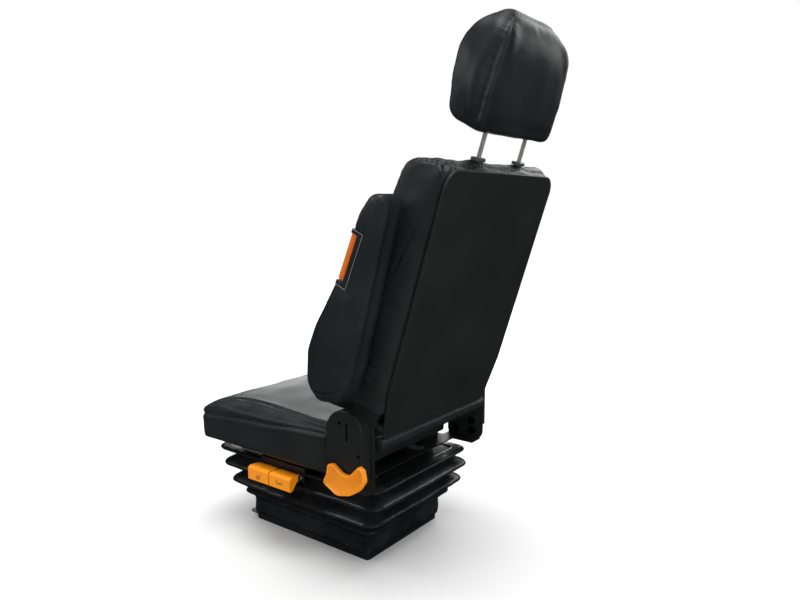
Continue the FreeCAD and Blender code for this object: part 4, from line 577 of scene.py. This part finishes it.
# Seat cushion
def cushion():
    ob = clone("seat_cushion", "cushion_cover")
    remesh(ob, 0.0065)
    smoothed(ob, 0.5, 6)
    shrunk(ob, 0.001)
    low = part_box("seat_cushion")[0].z

    def keep(co):
        """All of the underside, which lies on the pan, and less of it up to 24 mm above."""
        return np.clip(1.0 - (co[:, 2] - low - 0.004) / 0.02, 0, 1)

    inflated(ob, 0.011, keep)
    subdivided(ob)
    ruffled(ob, height=0.0016, scale=14.0, seed=3.1)
    for side in (1, -1):
        outer = [
            (side * 0.10, -0.325, 0.298), (side * 0.19, -0.322, 0.300), (side * 0.232, -0.308, 0.303),
            (side * 0.245, -0.27, 0.309), (side * 0.247, -0.148, 0.319), (side * 0.248, -0.035, 0.325),
            (side * 0.247, 0.07, 0.336), (side * 0.246, 0.155, 0.341),
        ]
        inner = [
            (side * 0.218, -0.262, 0.34), (side * 0.204, -0.205, 0.345), (side * 0.198, -0.114, 0.348),
            (side * 0.203, -0.04, 0.348), (side * 0.211, 0.03, 0.348), (side * 0.222, 0.14, 0.346),
        ]
        seam(ob, outer, depth=0.0042, width=0.0048, pucker=0.18, pitch=0.0083, swell=0.0012)
        seam(ob, inner, depth=0.0030, width=0.0045, pucker=0.25, pitch=0.013, swell=0.0010)
        tag = "left" if side > 0 else "right"
        stitches(ob, outer, "cushion", offset=0.0042, name="cushion_stitch_upper_" + tag)
        stitches(ob, outer, "cushion", offset=-0.0042, name="cushion_stitch_lower_" + tag)
        stitches(ob, inner, "cushion", offset=0.0030, name="cushion_stitch_inner_" + tag)
    front = [(-0.11, -0.325, 0.298), (0.0, -0.3255, 0.297), (0.11, -0.325, 0.298)]
    seam(ob, front, depth=0.0042, width=0.0048, pucker=0.18, pitch=0.0083, swell=0.0012)
    stitches(ob, front, "cushion", offset=0.0042, name="cushion_stitch_front_upper")
    stitches(ob, front, "cushion", offset=-0.0042, name="cushion_stitch_front_lower")
    shade_smooth(ob)
    dress(ob, vinyl)
    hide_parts("seat_cushion")
    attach(ob, "cushion")


# Backrest cushion
def raised_at_posts(ob):
    """Lift the top of the backrest round the headrest's two collars."""
    co = coords(ob)
    x, d, w = unleaned(co).T
    near = np.exp(-((np.abs(x) - POST_X) / 34) ** 2 - ((d - POST_D) / 22) ** 2)
    rise = np.clip((w - 600) / 15, 0, 1) * near * 0.0085
    co[:, 1] += rise * math.sin(LEAN)
    co[:, 2] += rise * math.cos(LEAN)
    set_coords(ob, co)


def backrest():
    ob = clone("backrest_foam", "backrest_cover")
    remesh(ob, 0.0072)
    smoothed(ob, 0.5, 5)

    def keep(co):
        """What lies on the tube frame, the rear panel or the hinges, and a part of each side."""
        x, d, w = unleaned(co).T
        inside = (np.abs(x) < 222) & (d < 52) & (w > 24) & (w < 596)
        rear = d < 12
        hinge = (w < 112) & (np.abs(x) > 200) & (d > -5)
        sides = np.clip((np.abs(x) - 232) / 8, 0, 1) * 0.35
        return np.clip(inside * 1.0 + rear * 1.0 + hinge * 0.9 + sides, 0, 1)

    inflated(ob, 0.011, keep)
    subdivided(ob)

    def loose(co):
        """The cover is looser at its top and sides."""
        x, d, w = unleaned(co).T
        top = np.clip((w - 585) / 25, 0, 1)
        edge = np.clip((np.abs(x) - 225) / 15, 0, 1)
        return 0.5 + 1.1 * top + 0.5 * edge

    raised_at_posts(ob)
    ruffled(ob, height=0.0017, scale=20.0, seed=5.7, where=loose)
    ruffled(ob, height=0.0003, scale=60.0, seed=1.3, where=loose)
    for side in (1, -1):
        tag = "left" if side > 0 else "right"
        gusset = [leaned(side * x, d, w) for x, d, w in (
            (229, 8, 622), (231, 30, 625), (232, 62, 622), (236, 92, 603), (240, 108, 570), (241, 118, 500),
            (241, 131, 400), (241, 146, 290), (240, 172, 190), (239, 198, 110), (236, 212, 60),
        )]
        seam(ob, gusset, depth=0.0034, width=0.0048, pucker=0.35, pitch=0.012, swell=0.0012)
        stitches(ob, gusset, "backrest", offset=0.0040, name="backrest_stitch_gusset_" + tag)
        stitches(ob, gusset, "backrest", offset=-0.0040, name="backrest_stitch_side_" + tag)
        wing = [leaned(side * x, d, w) for x, d, w in (
            (154, 84, 606), (156, 96, 560), (156, 100, 480), (156, 112, 360), (156, 126, 250),
            (156, 150, 150), (156, 164, 80), (156, 166, 40),
        )]
        seam(ob, wing, depth=0.0045, width=0.0060, pucker=0.2, pitch=0.014, swell=0.0)
        pinch = [leaned(side * 244, d, w) for d, w in ((33, 500), (40, 478), (50, 435), (57, 402), (64, 372))]
        seam(ob, pinch, depth=0.0018, width=0.0034, pucker=0.8, pitch=0.010, swell=0.0010)
        corner = [leaned(side * x, d, w) for x, d, w in ((236, 2, 596), (234, 14, 612), (224, 24, 626))]
        seam(ob, corner, depth=0.0040, width=0.0045, pucker=0.2, pitch=0.012, swell=0.001)
        collar_side = [leaned(side * x, POST_D, 627) for x in (60, POST_X, 122)]
        seam(ob, collar_side, depth=0.0014, width=0.012, pucker=0.15, pitch=0.016, swell=0.0006)
    for w, d in ((452, 80), (300, 95), (168, 118)):
        across = [leaned(x, d, w) for x in (-150, -70, 0, 70, 150)]
        seam(ob, across, depth=0.0038, width=0.0055, pucker=0.2, pitch=0.014, swell=0.0012)
        stitches(ob, across, "backrest", offset=0.0034, name="backrest_stitch_row_" + str(w))
    top = [leaned(x, 14, 627) for x in (-205, -120, 0, 120, 205)]
    seam(ob, top, depth=0.0022, width=0.0040, pucker=0.25, pitch=0.017, swell=0.0010)
    shade_smooth(ob)
    dress(ob, vinyl)
    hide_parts("backrest_foam")
    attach(ob, "backrest")


# Sewn roll under the rear panel
def lower_roll():
    ob = clone("backrest_lower_roll", "lower_roll_cover")
    remesh(ob, 0.003)
    smoothed(ob, 0.5, 4)
    ruffled(ob, height=0.0016, scale=34.0, seed=8.3)
    hem = [leaned(x, -3, -1) for x in (-215, -100, 0, 100, 215)]
    seam(ob, hem, depth=0.0022, width=0.0028, pucker=0.5, pitch=0.011, swell=0.0006)
    shade_smooth(ob)
    dress(ob, vinyl)
    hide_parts("backrest_lower_roll")
    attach(ob, "backrest")


# Headrest
def squared(ob):
    """Lift the top corners, widen the lower rear and draw the lower front in."""
    co = coords(ob)
    x, d, w = unleaned(co).T
    side = np.clip((np.abs(x) - 100) / 60, 0, 1)
    high = np.clip((w - 850) / 50, 0, 1)
    deep = np.clip((d - 30) / 40, 0, 1)
    lift = high * (0.0215 * side * (3 - 2 * side) * side + 0.001)
    draw = np.clip((800 - w) / 90, 0, 1) * deep * 0.010
    co[:, 0] *= 1.0 + 0.045 * np.clip((830 - w) / 100, 0, 1) * (1.0 - deep)
    co[:, 1] += lift * math.sin(LEAN) + draw * math.cos(LEAN)
    co[:, 2] += lift * math.cos(LEAN) - draw * math.sin(LEAN)
    set_coords(ob, co)


def headrest():
    ob = clone("headrest_pad", "headrest_cover")
    remesh(ob, 0.004)
    smoothed(ob, 0.5, 24)

    def keep(co):
        """Half of the rear, what lies on the posts, and the lower front corners."""
        x, d, w = unleaned(co).T
        rear = np.clip((24 - d) / 10, 0, 1) * 0.5
        beside = (np.abs(d - POST_D) < 12) & (w < 830)
        post = beside & (np.abs(np.abs(x) - POST_X) < 12)
        inner = beside & (np.abs(x) < 104) & (w > 700)
        corner = np.clip((770 - w) / 60, 0, 1) * np.clip((np.abs(x) - 110) / 30, 0, 1)
        return np.clip(rear + post * 1.0 + inner * 1.0 + corner * np.clip((d - 40) / 40, 0, 1), 0, 1)

    inflated(ob, 0.011, keep)
    squared(ob)
    smoothed(ob, 0.5, 6)
    subdivided(ob)
    ruffled(ob, height=0.0010, scale=16.0, seed=2.2)
    half = (
        (150, 23, 702), (164, 22, 748), (168, 21, 800), (166, 20, 861), (158, 21, 905), (132, 23, 930),
        (70, 25, 941),
    )
    loop = [leaned(-x, d, w) for x, d, w in half] + [leaned(0, 26, 943)]
    loop += [leaned(x, d, w) for x, d, w in reversed(half)]
    seam(ob, loop, depth=0.0052, width=0.0110, pucker=0.06, pitch=0.02, swell=0.0020)
    shade_smooth(ob)
    dress(ob, vinyl_smooth)
    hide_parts("headrest_pad")
    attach(ob, "headrest")


# Armrest
def armrest():
    ob = clone("armrest_pad", "armrest_cover")
    remesh(ob, 0.003)
    smoothed(ob, 0.5, 5)

    def keep(co):
        """The notch that holds the thumbwheel, and the slot that takes the armrest's core."""
        x, y, z = co.T
        up, back = z - WHEEL_SPOT.z, y - WHEEL_SPOT.y
        along = up * math.cos(WHEEL_LEAN) + back * math.sin(WHEEL_LEAN)
        deep = back * math.cos(WHEEL_LEAN) - up * math.sin(WHEEL_LEAN)
        well = (x > 0.283) & (np.abs(along) < 0.068) & (deep < 0.040)
        room = (np.abs(x - 0.300) < 0.012) & (z > 0.47) & (z < 0.87)
        return np.clip(well * 1.0 + room * 1.0, 0, 1)

    inflated(ob, 0.005, keep)
    subdivided(ob)
    ruffled(ob, height=0.0012, scale=15.0, seed=4.4)
    edge = [(0.334, y, z) for y, z in (
        (0.401, 0.872), (0.394, 0.836), (0.378, 0.779), (0.356, 0.699), (0.333, 0.617), (0.309, 0.540),
        (0.292, 0.492),
    )]
    seam(ob, edge, depth=0.0030, width=0.0060, pucker=0.1, pitch=0.02, swell=0.0014)
    base = [(0.338, 0.205, 0.470), (0.3385, 0.235, 0.468), (0.338, 0.262, 0.474), (0.336, 0.285, 0.488)]
    seam(ob, base, depth=0.0022, width=0.0024, pucker=0.0, pitch=0.02, swell=0.0006)
    shade_smooth(ob)
    dress(ob, vinyl_arm)
    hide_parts("armrest_pad")
    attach(ob, "armrest")


# Rubber gaiter round the suspension, in millimetres: height, half width, front, rear and corner radius
GAITER = [
    (20.0, 153.6, -205.5, 207.5, 11.0), (38.0, 153.8, -205.8, 207.8, 11.0),
    (58.0, 153.6, -205.5, 207.5, 11.0), (70.0, 160.0, -210.0, 212.0, 16.0),
    (80.5, 177.1, -226.2, 233.8, 25.9), (85.0, 180.0, -228.8, 237.0, 27.2),
    (89.0, 177.1, -225.7, 233.2, 25.9), (96.0, 166.6, -214.6, 220.8, 22.1),
    (105.0, 180.0, -230.8, 236.0, 28.2), (113.5, 202.0, -257.0, 260.5, 36.0),
    (118.0, 205.0, -261.0, 263.0, 37.0), (122.5, 201.0, -257.0, 260.0, 36.0),
    (133.0, 182.3, -239.3, 238.0, 30.4), (142.0, 171.2, -227.6, 224.8, 26.4),
    (150.0, 183.5, -243.5, 241.5, 30.5), (159.0, 208.5, -278.0, 273.5, 38.0),
    (164.0, 212.0, -283.0, 277.0, 39.0), (168.5, 208.0, -279.0, 273.0, 38.0),
    (178.0, 188.2, -260.4, 251.5, 31.9), (186.0, 175.9, -246.5, 236.8, 26.9),
    (193.0, 191.7, -267.1, 257.0, 32.2), (199.0, 206.0, -298.0, 269.0, 38.0),
    (202.8, 209.0, -303.0, 273.0, 39.0), (205.8, 206.5, -300.0, 270.5, 37.0),
    (206.2, 196.8, -290.5, 260.2, 30.8), (206.3, 179.2, -270.8, 237.8, 19.2),
]


PER_CORNER = 18
PER_RUN = 54
GAITER_ROWS = 110
RUBBER_WALL = 0.0016

# Heights where the gaiter's uneven hem, its skirt and its hanging folds end, and where its top roll begins
HEM_TOP = 40
SKIRT_TOP = 62
FOLDS_TOP = 200
ROLL_FOOT = 196


def gaiter_ring(level):
    """Points round a rounded rectangle, the same share of each run at every level."""
    _, half, front, rear, corner = level
    runs = []
    centres = [
        (half - corner, rear - corner, 0.0), (-half + corner, rear - corner, 90.0),
        (-half + corner, front + corner, 180.0), (half - corner, front + corner, 270.0),
    ]
    for i, (cx, cy, start) in enumerate(centres):
        for k in range(PER_CORNER):
            a = math.radians(start + 90.0 * k / PER_CORNER)
            runs.append((cx + corner * math.cos(a), cy + corner * math.sin(a)))
        a = math.radians(start + 90.0)
        x0, y0 = cx + corner * math.cos(a), cy + corner * math.sin(a)
        nx, ny, nstart = centres[(i + 1) % 4]
        b = math.radians(nstart)
        x1, y1 = nx + corner * math.cos(b), ny + corner * math.sin(b)
        for k in range(PER_RUN):
            t = k / PER_RUN
            runs.append((x0 + (x1 - x0) * t, y0 + (y1 - y0) * t))
    return runs


def gaiter_sag(x, y, z):
    """How far the folds hang between the corners."""
    if not SKIRT_TOP < z < FOLDS_TOP:
        return 0.0
    along = abs(y) / 230 if abs(x) > abs(y) * 0.8 else abs(x) / 180
    up = (z - SKIRT_TOP) / (FOLDS_TOP - SKIRT_TOP)
    return -2.6 * math.cos(min(along, 1.0) * math.pi / 2) * math.sin(up * math.pi)


def gaiter_wave(x, y, z):
    """How far the rubber stands out or in, without pressing the skirt into the tray."""
    if z < SKIRT_TOP:
        return max(noise.noise(Vector((x * 0.03, y * 0.03, z * 0.045 + 9))) * 2.6 + 0.9, -0.4)
    wave = noise.noise(Vector((x, y, z)) * 0.020 + Vector((3, 1, 7))) * 2.2
    wave += noise.noise(Vector((x * 0.05, y * 0.05, z * 0.10))) * 1.1
    return wave * 0.3 if z > ROLL_FOOT else wave


def gaiter_hem(x, y, z):
    """The uneven lower edge of the skirt."""
    if z >= HEM_TOP:
        return 0.0
    share = (HEM_TOP - z) / 20
    slow = noise.noise(Vector((x * 0.035, y * 0.035, 4.2))) * 5.0
    return (slow + noise.noise(Vector((x * 0.16, y * 0.16, 8.1))) * 1.6) * share


def gaiter():
    levels = np.array(GAITER)
    height = np.concatenate([[0], np.cumsum(np.linalg.norm(np.diff(levels[:, :3], axis=0), axis=1))])
    at = np.linspace(0, height[-1], GAITER_ROWS)
    fine = np.stack([np.interp(at, height, levels[:, k]) for k in range(5)], 1)
    for _ in range(2):
        fine[1:-1] = (fine[:-2] + 2 * fine[1:-1] + fine[2:]) / 4
    bm = bmesh.new()
    rings = []
    for level in fine:
        z, half, _, rear, _ = level
        ring = []
        for x, y in gaiter_ring(level):
            out = Vector((x / half, y / rear, 0)).normalized() * gaiter_wave(x, y, z)
            lift = gaiter_sag(x, y, z) + gaiter_hem(x, y, z)
            ring.append(bm.verts.new(Vector((x + out.x, y + out.y, z + lift)) * MM))
        rings.append(ring)
    for low, high in zip(rings, rings[1:]):
        skin(bm, low, high)
    bmesh.ops.recalc_face_normals(bm, faces=bm.faces)
    ob = from_bmesh("gaiter", bm)
    solid = ob.modifiers.new("wall", "SOLIDIFY")
    solid.thickness = RUBBER_WALL
    solid.offset = -1.0
    applied(ob)
    shade_smooth(ob)
    dress(ob, rubber)
    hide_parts("suspension_bellows")
    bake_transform(ob)


# Coil springs of the suspension, thinned to fewer triangles
def springs():
    for tag in ("left", "right"):
        ob = clone("suspension_spring_" + tag, "coil_" + tag)
        thinned(ob, 0.12)
        shade_smooth(ob)
        dress(ob, black_steel)
        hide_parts("suspension_spring_" + tag)
        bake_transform(ob)


# Orange recline lever, a smooth moulded cup; its arm under the recliner cover is coloured black as painted
# shade
CUP_RIM = 0.012
BOWL_REACH = 0.013
BOWL_DEPTH = 0.0075


def lever():
    ob = clone("recliner_lever", "lever_cup")
    remesh(ob, 0.0012)
    smoothed(ob, 0.6, 14)
    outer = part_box("recliner_lever")[1].x
    co, n = coords(ob), normals(ob)
    rim = KDTree(len(co))
    for i, (p, way) in enumerate(zip(co, n)):
        if abs(way[0]) < 0.55 and p[0] > outer - CUP_RIM:
            rim.insert((0.0, p[1], p[2]), i)
    rim.balance()
    dip = np.zeros(len(co))
    for i, (p, way) in enumerate(zip(co, n)):
        if way[0] > 0.3 and p[0] > outer - CUP_RIM:
            gap = rim.find((0.0, p[1], p[2]))[2]
            dip[i] = min(gap / BOWL_REACH, 1.0)
    dip = spread(ob, dip * dip * (3 - 2 * dip), 12)
    co[:, 0] -= BOWL_DEPTH * dip
    set_coords(ob, co)
    smoothed(ob, 0.5, 6)
    shade_smooth(ob)
    dress(ob, orange)
    ob.data.materials.append(black_plastic)
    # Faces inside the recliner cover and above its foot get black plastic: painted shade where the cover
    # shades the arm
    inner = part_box("recliner_cover_left")[1].x - 0.0015
    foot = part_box("recliner_cover_left")[0].z + 0.006
    for face in ob.data.polygons:
        face.material_index = int(face.center.x < inner and face.center.z > foot)
    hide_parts("recliner_lever")
    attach(ob, "recline_lever")


# Small raised signs on the paddles, in millimetres: a seat outline with an arrow
SEAT_SIGN = (
    ((-7, -4), (5, -4)), ((-7, -4), (-10, 7)), ((-7, -4), (-5, -1)), ((5, -4), (6, -1)), ((-5, -1), (6, -1)),
)
TILT_ARROW = (((9, -5), (12, 0)), ((12, 0), (9, 5)), ((9, 5), (12, 4.4)), ((9, 5), (9.6, 2)))
DEPTH_ARROW = (
    ((-6, -8), (6, -8)), ((6, -8), (3.6, -6.4)), ((6, -8), (3.6, -9.6)),
    ((-6, -8), (-3.6, -6.4)), ((-6, -8), (-3.6, -9.6)),
)
SIGN_FACE_X = 262.0
SIGN_CENTRE_Z = 191.0
STROKE_HALF = 0.55
STROKE_END = 0.4
STROKE_LOW = -0.25
STROKE_HIGH = 0.22


def sign(name, body, centre_y, arrow):
    bm = bmesh.new()
    for (a0, b0), (a1, b1) in SEAT_SIGN + arrow:
        start = Vector((SIGN_FACE_X, centre_y - a0, SIGN_CENTRE_Z + b0))
        end = Vector((SIGN_FACE_X, centre_y - a1, SIGN_CENTRE_Z + b1))
        way = (end - start).normalized()
        across = Vector((1, 0, 0)).cross(way) * STROKE_HALF
        start, end = start - way * STROKE_END, end + way * STROKE_END
        corners = []
        for lift in (STROKE_LOW, STROKE_HIGH):
            for p, turn in ((start, 1), (end, 1), (end, -1), (start, -1)):
                corners.append(bm.verts.new((p + across * turn + Vector((lift, 0, 0))) * MM))
        for f in ((0, 1, 2, 3), (7, 6, 5, 4), (0, 4, 5, 1), (1, 5, 6, 2), (2, 6, 7, 3), (3, 7, 4, 0)):
            bm.faces.new([corners[i] for i in f])
    bmesh.ops.recalc_face_normals(bm, faces=bm.faces)
    ob = from_bmesh(name, bm)
    dress(ob, mark)
    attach(ob, body)


# Thin pale trim line round the thumbwheel's bezel, in millimetres in the wheel's frame
TRIM_OUTER = 26.1
TRIM_SHOULDER = 25.4
TRIM_FRONT = 22.6
TRIM_INNER = -23.6
TRIM_END = 60.6
TRIM_DEPTH = 31.6
TRIM_PROUD = -1.2
TRIM_BEND = 3.0
TRIM_RADIUS = 0.75
BEND_STEPS = 5
TRIM_SIDES = 8


def from_wheel_frame(p):
    """A point of the wheel's frame in millimetres, to the seat's frame in metres."""
    return WHEEL_SPOT + Vector((
        p.x,
        p.y * math.cos(WHEEL_LEAN) + p.z * math.sin(WHEEL_LEAN),
        p.z * math.cos(WHEEL_LEAN) - p.y * math.sin(WHEEL_LEAN),
    )) * MM


def trim_path():
    """The closed line over the bezel's edges, with its corners rounded."""
    half = ((TRIM_OUTER, TRIM_DEPTH), (TRIM_SHOULDER, 10), (TRIM_FRONT, TRIM_PROUD), (TRIM_INNER, TRIM_PROUD))
    upper = [Vector((x, y, TRIM_END)) for x, y in half]
    lower = [Vector((x, y, -TRIM_END)) for x, y in half]
    corners = [lower[0]] + upper + lower[:0:-1]
    path = []
    for i, here in enumerate(corners):
        before, after = corners[i - 1], corners[(i + 1) % len(corners)]
        start = here + (before - here).normalized() * TRIM_BEND
        end = here + (after - here).normalized() * TRIM_BEND
        for k in range(BEND_STEPS):
            t = k / (BEND_STEPS - 1)
            path.append(start * (1 - t) ** 2 + here * 2 * t * (1 - t) + end * t * t)
    return path


def bezel_ring():
    path = trim_path()
    bm = bmesh.new()
    rings = []
    for i, p in enumerate(path):
        way = (path[(i + 1) % len(path)] - path[i - 1]).normalized()
        side = way.cross(Vector((0.3, 1.0, 0.2))).normalized()
        rings.append(circle(bm, p, side, way.cross(side), TRIM_RADIUS, TRIM_SIDES))
    for low, high in zip(rings, rings[1:] + rings[:1]):
        skin(bm, low, high)
    for point in bm.verts:
        point.co = from_wheel_frame(point.co)
    bmesh.ops.recalc_face_normals(bm, faces=bm.faces)
    ob = from_bmesh("bezel_ring", bm)
    shade_smooth(ob)
    dress(ob, silver)
    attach(ob, "armrest")


cushion()
backrest()
lower_roll()
headrest()
armrest()
gaiter()
springs()
lever()
sign("sign_depth", "depth_paddle", -63.5, DEPTH_ARROW)
sign("sign_tilt", "tilt_paddle", 13.5, TILT_ARROW)
bezel_ring()


# Floor and studio light: a wide sun from above and soft lamps, each with its place, aim, width and power
SUN_PLACE = (0.25, 0.2, 3.0)
SUN_ANGLE = math.radians(36)
SUN_POWER = 2.1
LAMPS = (
    ("far", (-3.4, -2.7, 0.75), (0, 0, 0.4), 2.4, 60),
    ("side", (-2.6, 0.5, 2.2), (0, 0.1, 0.2), 1.8, 40),
    ("fill", (1.0, 3.0, 1.6), (0, 0, 0.5), 2.6, 16),
    ("glint", (1.25, -1.3, 2.0), (0.28, 0.2, 0.24), 0.7, 9),
)
FLOOR_SIZE = 200.0


def lamp(name, kind, place, aim, power):
    data = bpy.data.lights.new(name, kind)
    data.energy = power
    ob = bpy.data.objects.new(name, data)
    ob.location = place
    ob.rotation_mode = "QUATERNION"
    ob.rotation_quaternion = (Vector(aim) - Vector(place)).to_track_quat("-Z", "Y")
    scene.collection.objects.link(ob)
    return data


def studio():
    bm = bmesh.new()
    bmesh.ops.create_grid(bm, x_segments=1, y_segments=1, size=FLOOR_SIZE)
    floor = from_bmesh("floor", bm)
    made, tree, shader = nodes_of("floor")
    shader.inputs["Base Color"].default_value = (0.64, 0.64, 0.64, 1)
    shader.inputs["Roughness"].default_value = 1.0
    shader.inputs["Specular IOR Level"].default_value = 0.0
    dress(floor, made)
    floor.visible_glossy = False
    world = bpy.data.worlds.new("studio")
    scene.world = world
    world.use_nodes = True
    back = world.node_tree.nodes["Background"]
    back.inputs["Color"].default_value = (1, 1, 1, 1)
    back.inputs["Strength"].default_value = 1.0
    world.cycles_visibility.glossy = False
    scene.view_settings.view_transform = "Standard"
    lamp("key", "SUN", SUN_PLACE, (0, 0, 0), SUN_POWER).angle = SUN_ANGLE
    for name, place, aim, size, power in LAMPS:
        data = lamp(name, "AREA", place, aim, power)
        data.shape = "SQUARE"
        data.size = size


studio()
